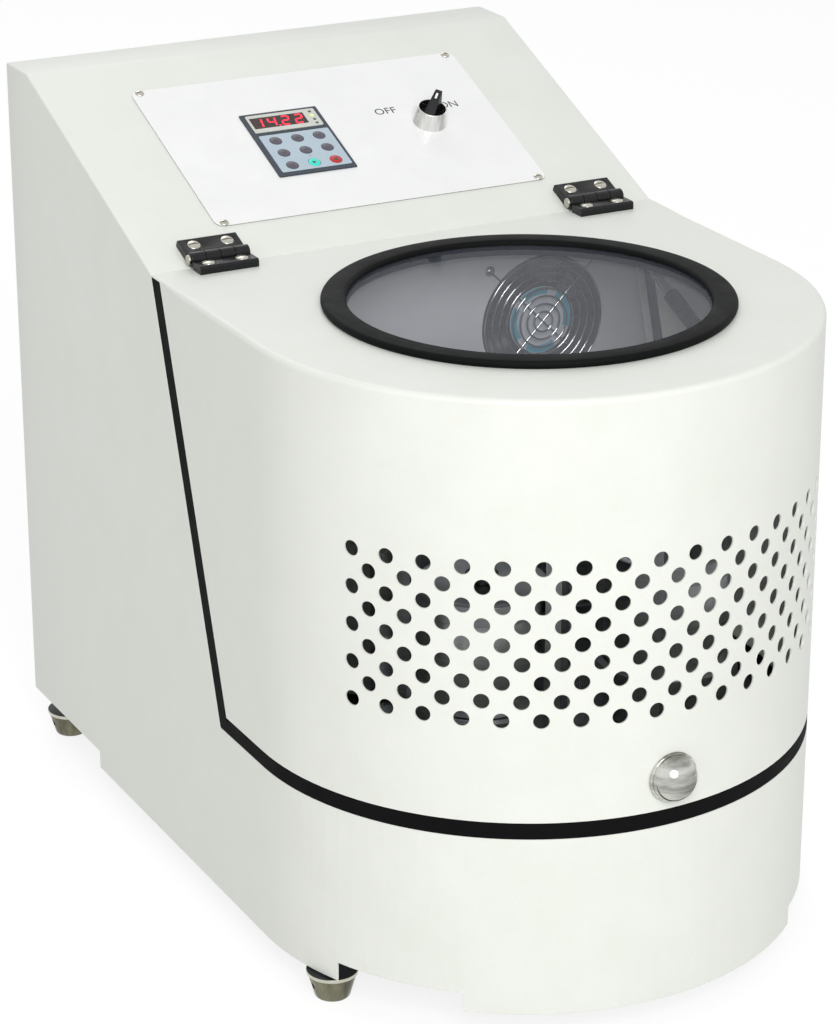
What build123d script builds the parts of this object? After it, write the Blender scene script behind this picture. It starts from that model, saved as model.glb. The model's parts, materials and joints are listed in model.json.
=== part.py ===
from build123d import *
import math
import os

# All lengths are in millimetres. X runs to the right, Y to the back, Z up from the floor.

# Cabinet
cabinet_width = 470.0
cabinet_depth = 743.0
cabinet_height = 638.0
skirt_z = 25.0
sheet = 2.0
hood_reach = 199.0
hood_top_z = 531.5
strip_depth = 48.5
rim_z = 177.0
seam_foot_setback = 116.5
rim_flange = 22.0
rail_height = 16.0
notch_height = 16.0
rear_notch_length = 157.5
front_notch_angles = (40.0, 67.0)
overrun = 5.0
flat_gap = 0.3
fit_gap = 0.2
running_gap = 0.05

# Rear service cover, with its louvres and power inlet
service_margin = 32.0
service_low = 78.0
service_top_margin = 78.0
cover_lap = 12.0
cover_thickness = 1.5
louvre_width = 64.0
louvre_height = 5.0
louvre_pitch = 15.0
louvre_rows = 12
louvre_columns = 3
louvre_pitch_x = 96.0
louvre_drop = 260.0
louvre_rise = 8.0
louvre_hood = 10.0
louvre_wall = 1.2
inlet_inset = 115.0
inlet_z = 150.0
inlet_width = 48.0
inlet_height = 28.0
inlet_depth = 32.0
inlet_lip = 5.0
inlet_lip_thickness = 2.5
inlet_wall = 4.0
inlet_pin = (2.0, 12.0, 4.0)
inlet_pin_spacing = 7.0

# Floor pan, feet and drive deck
pan_low = 43.0
pan_thickness = 3.0
pan_hem = 14.0
pan_opening_inset = 95.0
pan_opening_front = 60.0
pan_opening_rear = 150.0
foot_side_inset = 25.0
foot_front_reach = 70.0
foot_rear_inset = 24.5
foot_floor_radius = 14.0
foot_top_radius = 20.0
foot_cup_height = 24.0
foot_rim = 1.0
foot_rim_height = 3.0
foot_stud_radius = 5.0
foot_stud_top = 58.0
foot_hole_radius = 2.6
foot_nut_radius = 9.0
foot_nut_height = 6.0
deck_low = 108.0
deck_thickness = 8.0
leg_radius = 9.0
leg_inset = 30.0
leg_front_angle = 35.0
leg_rear_inset = 81.5

# Bulkhead between the milling chamber and the drive compartment
bulkhead_setback = 2.5
fan_inset = 107.0
fan_drop = 94.5
fan_opening_radius = 59.0
fan_size = 120.0
fan_depth = 38.0
fan_bolt_spacing = 105.0
fan_bolt_radius = 2.2
fan_bore_radius = 57.0
fan_hub_radius = 31.0
fan_motor_radius = 28.0
fan_motor_depth = 8.0
fan_spoke = 5.0
fan_shaft_radius = 3.0
fan_blades = 7
fan_blade_thickness = 2.0
fan_blade_chord = 24.0
fan_blade_pitch = 38.0
fan_tip_gap = 1.5
guard_wire = 1.7
guard_rings = 8
guard_first_radius = 9.0
guard_pitch = 6.9
guard_loop_radius = 4.5
guard_screw_radius = 4.0
guard_screw_height = 2.5

# Hood with its viewing window
hood_gap = 13.8
hood_edge_setback = 17.0
hood_rear_gap = 1.0
hood_sheet = 2.0
hood_flange = 16.0
hole_radius = 6.2
hole_rows = 9
hole_row_pitch = 15.4
hole_column_pitch = 30.3
hole_columns = 18
hole_top_drop = 132.2
window_offset = 4.5
window_cut_radius = 150.0
gasket_outer_radius = 164.0
gasket_inner_radius = 143.5
gasket_rise = 6.5
gasket_drop = 5.0
gasket_lower_radius = 157.0
gasket_edge_round = 2.6
pane_radius = 147.0
pane_thickness = 4.0
knob_rise = 40.5
knob_radius = 19.0
knob_base_radius = 20.5
knob_base_height = 2.5
knob_height = 19.0
knob_stud_radius = 3.0
knob_stud_length = 14.0
seal_inset = 3.0
seal_width = 13.0

# Hood hinges
hinge_side_inset = 58.0
hinge_shift = 2.5
hinge_width = 52.0
hinge_pin_height = 7.0
hinge_barrel_radius = 6.0
hinge_pin_radius = 2.6
hinge_pin_head = (4.2, 2.0)
hinge_leaf_thickness = 7.0
hinge_fixed_reach = 29.5
hinge_moving_reach = 22.0
hinge_knuckles = 4
hinge_knuckle_gap = 0.4
hinge_chamfer = 1.6
hinge_screw_spacing = 29.7
hinge_screw_inset = 9.5

# Countersunk screws: head radius, shank radius and length
screw_head = 6.0
screw_shank = 2.6
screw_length = 14.0
screw_slot = 1.2
screw_slot_depth = 1.0
plate_screw_head = 4.0
plate_screw_shank = 1.7
plate_screw_rise = 1.8
plate_screw_length = 8.0

# Gas strut at the right side: its rod turns on the bulkhead's stud and its tube ends at the hood's
strut_side_inset = 34.0
strut_base_setback = 172.5
strut_base_drop = 90.5
strut_tip_setback = 32.5
strut_tip_drop = 29.5
strut_radius = 7.0
strut_length = 86.0
strut_wall = 1.6
strut_rod_radius = 4.0
strut_piston_length = 12.0
strut_eye_radius = 7.0
strut_eye_width = 8.0
strut_stud_radius = 4.0
strut_plate = (24.0, 24.0, 2.0)

# Console plate, keypad and switch, placed on the slope by x and distance up it
plate_width = 314.0
plate_height = 193.0
plate_thickness = 1.0
plate_shift = 0.6
plate_corner = 8.0
plate_screw_inset_x = 8.0
plate_screw_inset_s = 3.75
keypad_x = -40.4
keypad_shift = -1.2
keypad_width = 73.5
keypad_height = 89.0
keypad_rise = 1.2
keypad_corner = 1.2
keypad_body_width = 62.0
keypad_body_height = 76.0
keypad_body_depth = 24.0
lens_width = 65.4
lens_height = 24.4
lens_rise = 29.5
lens_thickness = 1.2
lens_pocket = 0.9
key_radius = 5.8
key_rows_s = (3.8, -13.7, -31.5)
key_columns_x = (-19.3, 1.4, 21.9)
key_proud = 0.4
key_length = 3.0
key_travel = 0.5
key_well_gap = 1.1
switch_x = 89.0
switch_shift = 2.1
bezel_base_radius = 15.25
bezel_top_radius = 13.2
bezel_height = 15.0
bezel_bore_radius = 11.8
bezel_floor = 3.0
switch_neck_radius = 11.0
switch_neck_depth = 12.0
switch_block = 30.0
switch_block_depth = 34.0
switch_rest_angle = 45.0
selector_radius = 11.3
selector_disc = 5.0
selector_shaft_radius = 3.0
selector_shaft_depth = 10.0
lever_back = 9.0
lever_front = 10.5
lever_tip = 12.2
lever_tip_top = 26.5
lever_back_top = 12.5
lever_base_width = 12.5
lever_tip_width = 6.0
lever_tip_land = 3.5

# Main bearing stack, turntable and fixed sun gear
module = 4.0
sun_teeth = 40
planet_teeth = 20
pressure_angle = 20.0
gear_width = 18.0
gear_backlash = 0.3
gear_clearance_share = 0.25
gear_addendum_share = 1.0
flank_points = 5
hub_flange_radius = 86.0
hub_flange_height = 10.0
hub_radius = 56.0
hub_drop = 8.0
hub_height = 34.0
hub_bolt_circle = 74.0
hub_bolts = 6
bearing_outer_radius = 40.0
bearing_width = 18.0
bearing_race = 6.0
bearing_shoulder = 12.0
bearing_lip = 3.0
main_shaft_radius = 20.0
main_shaft_low = 56.0
sun_bore_radius = 27.0
turntable_gap = 4.0
turntable_boss_drop = 12.0
turntable_thickness = 13.0
turntable_side_gap = 49.0
turntable_hub_radius = 46.0
turntable_rim_chamfer = 2.0
nut_radius = 20.0
nut_height = 13.0
spindle_thread_radius = 12.0
planet_boss_radius = 33.0
planet_bearing_radius = 26.0
planet_bearing_width = 15.0
planet_shaft_radius = 12.5
planet_seat_lip = 4.0
planet_race = 4.0
shield_inset_share = 0.25

# Jar stations
station_count = 4
station_start_angle = 45.0
pinion_flange_radius = 30.0
pinion_flange_height = 4.0
pinion_gap = 2.0
holder_radius = 59.0
holder_wall = 7.0
holder_floor = 8.0
holder_height = 42.0
post_centre = 61.0
post_depth = 13.0
post_width = 24.0
bridge_low = 164.0
bridge_height = 15.0
jar_radius = 50.5
jar_wall = 6.0
jar_floor = 8.0
jar_height = 112.0
jar_round = 4.0
lid_radius = 53.0
lid_height = 18.0
lid_spigot = 4.0
lid_spigot_gap = 0.5
lid_chamfer = 2.0
clamp_radius = 8.0
clamp_pad_radius = 13.0
clamp_pad_height = 6.0
clamp_rise = 26.0
clamp_knob_radius = 25.0
clamp_knob_height = 17.0
clamp_lobes = 6
clamp_lobe_radius = 7.0

# Motor, pulleys and belt
motor_shift = -10.75
motor_radius = 72.0
motor_length = 190.0
motor_flange_radius = 92.0
motor_flange_height = 12.0
motor_fins = 20
motor_fin_depth = 6.0
motor_fin_thickness = 3.0
motor_shaft_radius = 12.0
motor_shaft_low = 58.0
motor_bolt_circle = 82.0
motor_bolts = 4
motor_pilot_radius = 40.0
terminal_box = (60.0, 34.0, 50.0)
pulley_low = 64.0
pulley_width = 24.0
pulley_flange = 2.5
pulley_flange_rise = 3.0
driven_pulley_radius = 60.0
drive_pulley_radius = 45.0
belt_width = 17.0
belt_thickness = 4.0
bolt_head_radius = 6.5
bolt_head_height = 8.0
bolt_shank_radius = 4.0
inverter_size = (104.0, 96.0, 170.0)
inverter_inset = (85.0, 71.5)
inverter_fin = 4.0
inverter_fin_depth = 12.0
inverter_fins = 9

os.makedirs("parts", exist_ok=True)

front_radius = cabinet_width / 2
front_y = front_radius - cabinet_depth / 2
rear_y = cabinet_depth / 2
hinge_y = front_y + hood_reach
strip_y = rear_y - strip_depth
seam_foot_y = hinge_y - seam_foot_setback
bulkhead_y = hinge_y - bulkhead_setback
slope_angle = math.atan2(cabinet_height - hood_top_z, strip_y - hinge_y)
slope = Plane(
    origin=(0, hinge_y, hood_top_z),
    x_dir=(1, 0, 0),
    z_dir=(0, -math.sin(slope_angle), math.cos(slope_angle)),
)
seam_run = (hinge_y - seam_foot_y) / (hood_top_z - rim_z)
hinge_axis_z = hood_top_z + hinge_pin_height
deck_top = deck_low + deck_thickness
hub_top = deck_top + hub_height
gear_low = hub_top
gear_top = gear_low + gear_width
table_low = gear_top + turntable_gap
table_top = table_low + turntable_boss_drop + turntable_thickness
centre_distance = module * (sun_teeth + planet_teeth) / 2
foot_x = front_radius - foot_side_inset
turntable_radius = front_radius - turntable_side_gap
leg_rear_y = rear_y - leg_rear_inset
service_high = cabinet_height - service_top_margin
inlet_x = front_radius - inlet_inset
fan_x = front_radius - fan_inset
fan_z = hood_top_z - fan_drop
window_y = front_y - window_offset
knob_z = rim_z + knob_rise
strut_x = front_radius - strut_side_inset
strut_base_y = hinge_y - strut_base_setback
strut_base_z = hood_top_z - strut_base_drop
strut_tip_y = hinge_y - strut_tip_setback
strut_tip_z = hood_top_z - strut_tip_drop
slope_length = math.hypot(strip_y - hinge_y, cabinet_height - hood_top_z)
plate_centre_s = slope_length / 2 + plate_shift
keypad_s = plate_centre_s + keypad_shift
switch_s = plate_centre_s + switch_shift
motor_y = (bulkhead_y + rear_y) / 2 + motor_shift


def plan_prism(inset, low, high, back=rear_y):
    # Plan of the cabinet drawn in by inset: straight sides and a half-round front
    half = front_radius - inset
    length = back - front_y
    face = Pos(0, front_y + length / 2) * Rectangle(2 * half, length)
    face += Pos(0, front_y) * Circle(half)
    face &= Pos(0, back - cabinet_depth) * Rectangle(2 * cabinet_width, 2 * cabinet_depth)
    return extrude(Pos(0, 0, low) * face, high - low)


def side_prism(face):
    # A side view, drawn as (y, z), as wide as the cabinet
    return extrude(Plane.YZ * face, amount=cabinet_width, both=True)


def box_between(low, high):
    size = [b - a for a, b in zip(low, high)]
    centre = [(a + b) / 2 for a, b in zip(low, high)]
    return Pos(*centre) * Box(*size)


def rod(radius, low, high, x=0, y=0):
    return extrude(Pos(x, y, low) * Circle(radius), high - low)


def tube(outer, inner, low, high, x=0, y=0):
    return extrude(Pos(x, y, low) * (Circle(outer) - Circle(inner)), high - low)


def turned(points):
    # A half section in (radius, height), turned about Z
    return revolve(Plane.XZ * Polygon(*points, align=None), Axis.Z)


def bore_y(radius, x, y, z):
    # Cutter along Y for a hole in a sheet with one face at y
    return Pos(x, y, z) * Rot(90, 0, 0) * Cylinder(radius, 2 * (sheet + overrun))


def bore_slope(radius, x, s):
    # Cutter square to the console slope
    return slope * Pos(x, s) * Cylinder(radius, 2 * (sheet + overrun))


def group(solids):
    return Compound(children=list(solids))


def save(name, shape):
    export_step(shape, "parts/" + name + ".step")


def seam_y(z):
    # Edge of the housing's side at height z
    return seam_foot_y + (z - rim_z) * seam_run


def countersunk(head, shank, length):
    # Screw with its head flush at height 0, and a straight driver slot
    cone = head - shank
    body = turned([(0, 0), (head, 0), (shank, -cone), (shank, -length), (0, -length)])
    slot = box_between((-head, -screw_slot / 2, -screw_slot_depth), (head, screw_slot / 2, overrun))
    return body - slot


def countersink(head, shank, length, gap):
    cone = head - shank
    return turned([
        (0, overrun), (head + gap, overrun), (head + gap, 0),
        (shank + gap, -cone), (shank + gap, -length), (0, -length),
    ])


def raised_screw(head, rise, shank, length):
    # Domed head standing on height 0
    body = turned([
        (0, rise), (head / 2, rise), (head, rise / 2), (head, 0), (shank, 0), (shank, -length), (0, -length),
    ])
    slot = box_between(
        (-head, -screw_slot / 2, rise - screw_slot_depth), (head, screw_slot / 2, rise + overrun)
    )
    return body - slot


def housing_profile(low):
    return Polygon(
        (rear_y, low), (rear_y, cabinet_height), (strip_y, cabinet_height), (hinge_y, hood_top_z),
        (seam_foot_y, rim_z), (-cabinet_depth, rim_z), (-cabinet_depth, low), align=None,
    )


# Places of the hinge screws and plate screws on the slope
hinge_centres = [side * (front_radius - hinge_side_inset) + hinge_shift for side in (-1, 1)]
hinge_screw_xs = [c + side * hinge_screw_spacing / 2 for c in hinge_centres for side in (-1, 1)]
hinge_fixed_screw_s = hinge_fixed_reach - hinge_screw_inset
hinge_moving_screw_y = hinge_y - hinge_moving_reach + hinge_screw_inset
plate_screw_reach = (plate_width / 2 - plate_screw_inset_x, plate_height / 2 - plate_screw_inset_s)
plate_screw_places = [
    (i * plate_screw_reach[0], plate_centre_s + j * plate_screw_reach[1])
    for i in (-1, 1)
    for j in (-1, 1)
]
cover_low = (-front_radius + service_margin - cover_lap, service_low - cover_lap)
cover_high = (front_radius - service_margin + cover_lap, service_high + cover_lap)
cover_screw_places = [
    (side * (cover_high[0] - cover_lap / 2), z)
    for side in (-1, 1)
    for z in (cover_low[1] + cover_lap / 2, (service_low + service_high) / 2, cover_high[1] - cover_lap / 2)
]
feet_places = [
    (side * foot_x, y)
    for side in (-1, 1)
    for y in (front_y - foot_front_reach, rear_y - foot_rear_inset)
]


def console_cutouts():
    # Openings for the keypad unit's body and the switch's neck
    well = Rectangle(keypad_body_width + 2 * fit_gap, keypad_body_height + 2 * fit_gap)
    neck = Circle(switch_neck_radius + fit_gap)
    return Pos(keypad_x, keypad_s) * well + Pos(switch_x, switch_s) * neck


def cabinet_shell():
    # Folded sheet housing and base: shell, turned-in rim flange, skirt notches and openings
    outer = plan_prism(0, skirt_z, cabinet_height) & side_prism(housing_profile(skirt_z))
    hollow = offset(housing_profile(skirt_z - sheet - overrun), amount=-sheet, kind=Kind.INTERSECTION)
    inner = plan_prism(sheet, skirt_z - overrun, cabinet_height, rear_y - sheet) & side_prism(hollow)
    shell = outer - inner
    rail_z = hood_top_z - rail_height
    mouth = Polygon(
        (-cabinet_depth, rim_z - sheet - overrun), (seam_y(rim_z) + overrun, rim_z - sheet - overrun),
        (seam_y(rail_z) + overrun, rail_z), (-cabinet_depth, rail_z), align=None,
    )
    shell -= side_prism(mouth) & plan_prism(rim_flange, 0, cabinet_height)
    half = front_radius - service_margin
    shell -= box_between(
        (-half, rear_y - sheet - overrun, service_low), (half, rear_y + overrun, service_high)
    )
    notch_top = skirt_z + notch_height
    notch_y = rear_y - rear_notch_length
    shell -= box_between((-cabinet_width, notch_y, 0), (cabinet_width, cabinet_depth, notch_top))
    for side in (-1, 1):
        spokes = [math.radians(a) for a in front_notch_angles]
        far = [(side * cabinet_width * math.sin(a), front_y - cabinet_width * math.cos(a)) for a in spokes]
        shell -= extrude(Polygon((0, front_y), *far, align=None), notch_top, both=True)
    shell -= extrude(slope * console_cutouts(), amount=sheet + overrun, both=True)
    for x, s in plate_screw_places:
        shell -= bore_slope(plate_screw_shank + fit_gap, x, s)
    for x in hinge_screw_xs:
        shell -= bore_slope(screw_shank + fit_gap, x, hinge_fixed_screw_s)
    for x, z in cover_screw_places:
        shell -= bore_y(plate_screw_shank + fit_gap, x, rear_y, z)
    return shell


def louvre_section(inset):
    # Side view of a louvre's hood, open below: inset draws its inner face
    low = -overrun if inset else 0
    return Polygon(
        (-inset, low), (louvre_rise - inset, low), (louvre_rise - inset, louvre_hood / 4),
        (-inset, louvre_hood - 2 * inset), align=None,
    )


def rear_cover():
    # Service cover with pressed-out louvres, screwed on the back of the housing
    face_y = rear_y + cover_thickness
    cover = box_between((cover_low[0], rear_y, cover_low[1]), (cover_high[0], face_y, cover_high[1]))
    hood = extrude(Plane.YZ * louvre_section(0), amount=louvre_width / 2, both=True)
    hood -= extrude(Plane.YZ * louvre_section(louvre_wall), amount=louvre_width / 2 - louvre_wall, both=True)
    slot = box_between(
        (-louvre_width / 2 + louvre_wall, -cover_thickness - overrun, 0),
        (louvre_width / 2 - louvre_wall, 0, louvre_height),
    )
    places = [
        Pos(
            (column - (louvre_columns - 1) / 2) * louvre_pitch_x, face_y,
            service_high - louvre_drop + (row - 1 / 2) * louvre_pitch,
        )
        for row in range(louvre_rows)
        for column in range(louvre_columns)
    ]
    cover = cover - [place * slot for place in places] + [place * hood for place in places]
    half_x = inlet_width / 2 + fit_gap
    half_z = inlet_height / 2 + fit_gap
    cover -= box_between(
        (inlet_x - half_x, rear_y - overrun, inlet_z - half_z),
        (inlet_x + half_x, rear_y + overrun, inlet_z + half_z),
    )
    for x, z in cover_screw_places:
        cover -= bore_y(plate_screw_shank + fit_gap, x, rear_y, z)
    return cover


def power_inlet():
    # Three-pin appliance inlet in the rear cover
    face_y = rear_y + cover_thickness
    half_x = inlet_width / 2
    half_z = inlet_height / 2
    body = box_between(
        (inlet_x - half_x, face_y - inlet_depth, inlet_z - half_z),
        (inlet_x + half_x, face_y, inlet_z + half_z),
    )
    body += box_between(
        (inlet_x - half_x - inlet_lip, face_y, inlet_z - half_z - inlet_lip),
        (inlet_x + half_x + inlet_lip, face_y + inlet_lip_thickness, inlet_z + half_z + inlet_lip),
    )
    cave_x = half_x - inlet_wall
    cave_z = half_z - inlet_wall
    cave_y = face_y - inlet_depth + inlet_wall
    body -= box_between(
        (inlet_x - cave_x, cave_y, inlet_z - cave_z), (inlet_x + cave_x, face_y + overrun, inlet_z + cave_z)
    )
    for step in (-1, 0, 1):
        pin = Pos(inlet_x + step * inlet_pin_spacing, cave_y + inlet_pin[1] / 2, inlet_z) * Box(*inlet_pin)
        body += pin
    return body


def base_pan():
    # Floor of the cabinet with a turned-up hem and the opening that gives access to the belt
    low = pan_low
    pan = plan_prism(sheet + fit_gap, low, low + pan_hem, rear_y - sheet - fit_gap)
    inset = 2 * sheet + fit_gap
    pan -= plan_prism(inset, low + pan_thickness, low + pan_hem + overrun, rear_y - inset)
    half = front_radius - pan_opening_inset
    pan -= box_between(
        (-half, front_y + pan_opening_front, low - overrun),
        (half, rear_y - pan_opening_rear, low + pan_hem + overrun),
    )
    for x, y in feet_places:
        pan -= rod(foot_stud_radius + fit_gap, 0, foot_stud_top, x, y)
    return pan


def levelling_feet():
    # Turned metal cup on a stud, locked to the pan by a nut on each side
    solids = []
    rim_low = foot_cup_height - foot_rim_height
    rim_radius = foot_top_radius + foot_rim
    cup = turned([
        (0, 0), (foot_floor_radius, 0), (foot_top_radius, rim_low), (rim_radius, rim_low),
        (rim_radius, foot_cup_height), (foot_stud_radius, foot_cup_height), (foot_stud_radius, foot_stud_top),
        (0, foot_stud_top),
    ])
    bore = Cylinder(foot_hole_radius, 2 * foot_top_radius + overrun)
    cup -= Pos(0, 0, foot_cup_height / 2) * Rot(0, 90, 0) * bore
    nut_face = RegularPolygon(foot_nut_radius, 6) - Circle(foot_stud_radius + running_gap)
    pan_top = pan_low + pan_thickness
    for x, y in feet_places:
        solids.append(Pos(x, y, 0) * cup)
        solids.append(extrude(Pos(x, y, pan_low - foot_nut_height) * nut_face, foot_nut_height))
        solids.append(extrude(Pos(x, y, pan_top) * nut_face, foot_nut_height))
    return group(solids)


def leg_places():
    places = []
    reach = front_radius - leg_inset
    for side in (-1, 1):
        angle = math.radians(leg_front_angle)
        places.append((side * reach * math.sin(angle), front_y - reach * math.cos(angle)))
        places.append((side * reach, 0))
        places.append((side * reach, leg_rear_y))
    return places


def drive_deck():
    # Machined plate on welded legs that carries the drive
    back = leg_rear_y + leg_inset
    deck = plan_prism(sheet + fit_gap, deck_low, deck_top, back)
    for x, y in leg_places():
        deck += rod(leg_radius, pan_low + pan_thickness, deck_low, x, y)
    deck -= rod(hub_radius + fit_gap, deck_low - overrun, deck_top + overrun, 0, front_y)
    deck -= rod(motor_pilot_radius, deck_low - overrun, deck_top + overrun, 0, motor_y)
    for x, y in bolt_places():
        deck -= rod(bolt_shank_radius + fit_gap, deck_low - overrun, deck_top + overrun, x, y)
    return deck


def bolt_places():
    places = []
    for i in range(hub_bolts):
        angle = 2 * math.pi * i / hub_bolts
        places.append((hub_bolt_circle * math.cos(angle), front_y + hub_bolt_circle * math.sin(angle)))
    for i in range(motor_bolts):
        angle = 2 * math.pi * (i + 1 / 2) / motor_bolts
        places.append((motor_bolt_circle * math.cos(angle), motor_y + motor_bolt_circle * math.sin(angle)))
    return places


def drive_bolts():
    # Cap screws of the bearing housing and the motor flange
    solids = []
    for i, (x, y) in enumerate(bolt_places()):
        top = deck_top + (hub_flange_height if i < hub_bolts else motor_flange_height)
        shank = rod(bolt_shank_radius, deck_low, top, x, y)
        solids.append(shank + rod(bolt_head_radius, top, top + bolt_head_height, x, y))
    return group(solids)


def fan_bolt_places():
    half = fan_bolt_spacing / 2
    return [(fan_x + i * half, fan_z + j * half) for i in (-1, 1) for j in (-1, 1)]


def strut_boss(x_wall, y, z, reach):
    # Plate at the right side with a stud that points inwards, as long as reach, for the strut's eye
    plate = Pos(x_wall - strut_plate[2] / 2, y, z) * Box(strut_plate[2], strut_plate[0], strut_plate[1])
    stud = Pos(x_wall - reach / 2, y, z) * Rot(0, 90, 0) * Cylinder(strut_stud_radius, reach)
    return plate + stud


def bulkhead():
    # Upright wall behind the milling chamber, with the fan opening and the strut's upper stud
    back = bulkhead_y + sheet
    hollow = offset(housing_profile(skirt_z - sheet - overrun), amount=-sheet, kind=Kind.INTERSECTION)
    inner = plan_prism(sheet + fit_gap, skirt_z, cabinet_height, rear_y) & side_prism(hollow)
    wall = box_between((-cabinet_width, bulkhead_y, deck_top), (cabinet_width, back, cabinet_height)) & inner
    wall -= bore_y(fan_opening_radius, fan_x, bulkhead_y, fan_z)
    for x, z in fan_bolt_places():
        wall -= bore_y(fan_bolt_radius + fit_gap, x, bulkhead_y, z)
    # The strut's upper stud stands on a tab turned forward from the wall, inside the rim flange
    side_x = front_radius - rim_flange - flat_gap
    tab = box_between(
        (side_x - strut_plate[2], strut_tip_y - strut_plate[0] / 2, strut_tip_z - strut_plate[1] / 2),
        (side_x, bulkhead_y, strut_tip_z + strut_plate[1] / 2),
    )
    reach = side_x - strut_x + strut_eye_width / 2
    return wall + tab + strut_boss(side_x, strut_tip_y, strut_tip_z, reach)


def seal_band(near, far, low, high):
    # Side view of the band between the housing's edge and the hood's edge
    return Polygon(
        (seam_y(low) - near, low), (seam_y(high) - near, high),
        (seam_y(high) - far, high), (seam_y(low) - far, low), align=None,
    )


def hood_seal():
    # Rubber seal on the rim and up the slanted edges
    low = rim_z
    high = hood_top_z - hood_sheet - flat_gap
    top = rim_z + hood_gap - flat_gap
    gap = hood_edge_setback - flat_gap / math.cos(math.atan(seam_run))
    upright = seal_band(0, gap, low, high)
    flat = Polygon(
        (-cabinet_depth, low), (seam_y(low), low), (seam_y(low) - gap, top), (-cabinet_depth, top), align=None
    )
    ring = plan_prism(seal_inset, low, high)
    ring -= plan_prism(seal_inset + seal_width, low - overrun, high + overrun)
    return ring & side_prism(upright + flat)


def hood_profile(setback, low, high):
    return Polygon(
        (-cabinet_depth, low), (-cabinet_depth, high),
        (seam_y(high) - setback, high), (seam_y(low) - setback, low), align=None,
    )


def hood_shell():
    # Perforated hood: half-round wall, level top, turned-in edges and a round window opening
    low = rim_z + hood_gap
    profile = hood_profile(hood_edge_setback, low, hood_top_z)
    outer = plan_prism(0, low, hood_top_z) & side_prism(profile)
    hollow = offset(profile, amount=-hood_sheet, kind=Kind.INTERSECTION)
    shell = outer - (plan_prism(hood_sheet, low, hood_top_z) & side_prism(hollow))
    top_low = hood_top_z - hood_sheet
    back = hinge_y - hood_rear_gap
    shell += plan_prism(0, top_low, hood_top_z, back)
    mouth = Polygon(
        (-cabinet_depth, low - overrun), (-cabinet_depth, top_low),
        (hinge_y, top_low), (hinge_y, low - overrun), align=None,
    )
    bottom = Polygon(
        (-cabinet_depth, low - overrun), (-cabinet_depth, low + hood_flange), (hinge_y, low + hood_flange),
        (hinge_y, low - overrun), align=None,
    )
    setback = hood_edge_setback + overrun
    rear = Polygon(
        (seam_y(low) - setback, low - overrun), (seam_y(top_low) - setback, top_low),
        (hinge_y, top_low), (hinge_y, low - overrun), align=None,
    )
    inner = plan_prism(hood_flange, low - overrun, top_low, cabinet_depth)
    shell -= side_prism(bottom + rear) & inner & side_prism(mouth)
    shell -= rod(window_cut_radius, top_low - overrun, hood_top_z + overrun, 0, window_y)
    reach = front_radius - hood_sheet / 2
    drill = Cylinder(hole_radius, hood_sheet + 2 * overrun)
    cutters = []
    for row in range(hole_rows):
        columns = hole_columns - row % 2
        z = hood_top_z - hole_top_drop - row * hole_row_pitch
        for column in range(columns):
            angle = (column - (columns - 1) / 2) * hole_column_pitch / front_radius
            place = Pos(reach * math.sin(angle), front_y - reach * math.cos(angle), z)
            cutters.append(place * Rot(0, 0, math.degrees(angle)) * Rot(90, 0, 0) * drill)
    shell = shell - cutters
    knob_hole = Rot(90, 0, 0) * Cylinder(knob_stud_radius + fit_gap, 2 * overrun)
    shell -= Pos(0, front_y - front_radius, knob_z) * knob_hole
    for x in hinge_screw_xs:
        shell -= rod(screw_shank + fit_gap, top_low - overrun, hood_top_z + overrun, x, hinge_moving_screw_y)
    side_x = front_radius - hood_sheet
    reach = side_x - strut_x - strut_radius - flat_gap
    return shell + strut_boss(side_x, strut_base_y, strut_base_z, reach)


def window_gasket():
    # Rubber profile that grips the opening's edge and the pane
    top_low = hood_top_z - hood_sheet
    pane_low = top_low
    low = top_low - gasket_drop
    high = hood_top_z + gasket_rise
    lip = gasket_edge_round
    section = Polygon(
        (gasket_inner_radius, low), (gasket_lower_radius, low), (gasket_lower_radius, top_low),
        (window_cut_radius - fit_gap, top_low), (window_cut_radius - fit_gap, hood_top_z),
        (gasket_outer_radius, hood_top_z), (gasket_outer_radius, high - lip),
        (gasket_outer_radius - lip, high),
        (gasket_inner_radius + lip, high), (gasket_inner_radius, high - lip),
        (gasket_inner_radius, pane_low + pane_thickness), (pane_radius + fit_gap, pane_low + pane_thickness),
        (pane_radius + fit_gap, pane_low), (gasket_inner_radius, pane_low), align=None,
    )
    return Pos(0, window_y, 0) * revolve(Plane.XZ * section, Axis.Z)


def window_pane():
    low = hood_top_z - hood_sheet
    return rod(pane_radius, low, low + pane_thickness, 0, window_y)


def hood_knob():
    # Domed pull on a thin base disc, screwed through the hood's front
    dome_height = knob_height - knob_base_height
    dome_radius = (knob_radius**2 + dome_height**2) / (2 * dome_height)
    dome = Pos(0, 0, knob_height - dome_radius) * Sphere(dome_radius)
    dome &= rod(knob_radius, knob_base_height, knob_height)
    knob = dome + rod(knob_base_radius, 0, knob_base_height) + rod(knob_stud_radius, -knob_stud_length, 0)
    return Pos(0, front_y - front_radius, knob_z) * Rot(90, 0, 0) * knob


def knuckle_span(index):
    step = hinge_width / hinge_knuckles
    start = -hinge_width / 2 + index * step
    return (start + hinge_knuckle_gap / 2, start + step - hinge_knuckle_gap / 2)


def along_x(radius, low, high):
    return Pos((low + high) / 2, 0, 0) * Rot(0, 90, 0) * Cylinder(radius, high - low)


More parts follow.
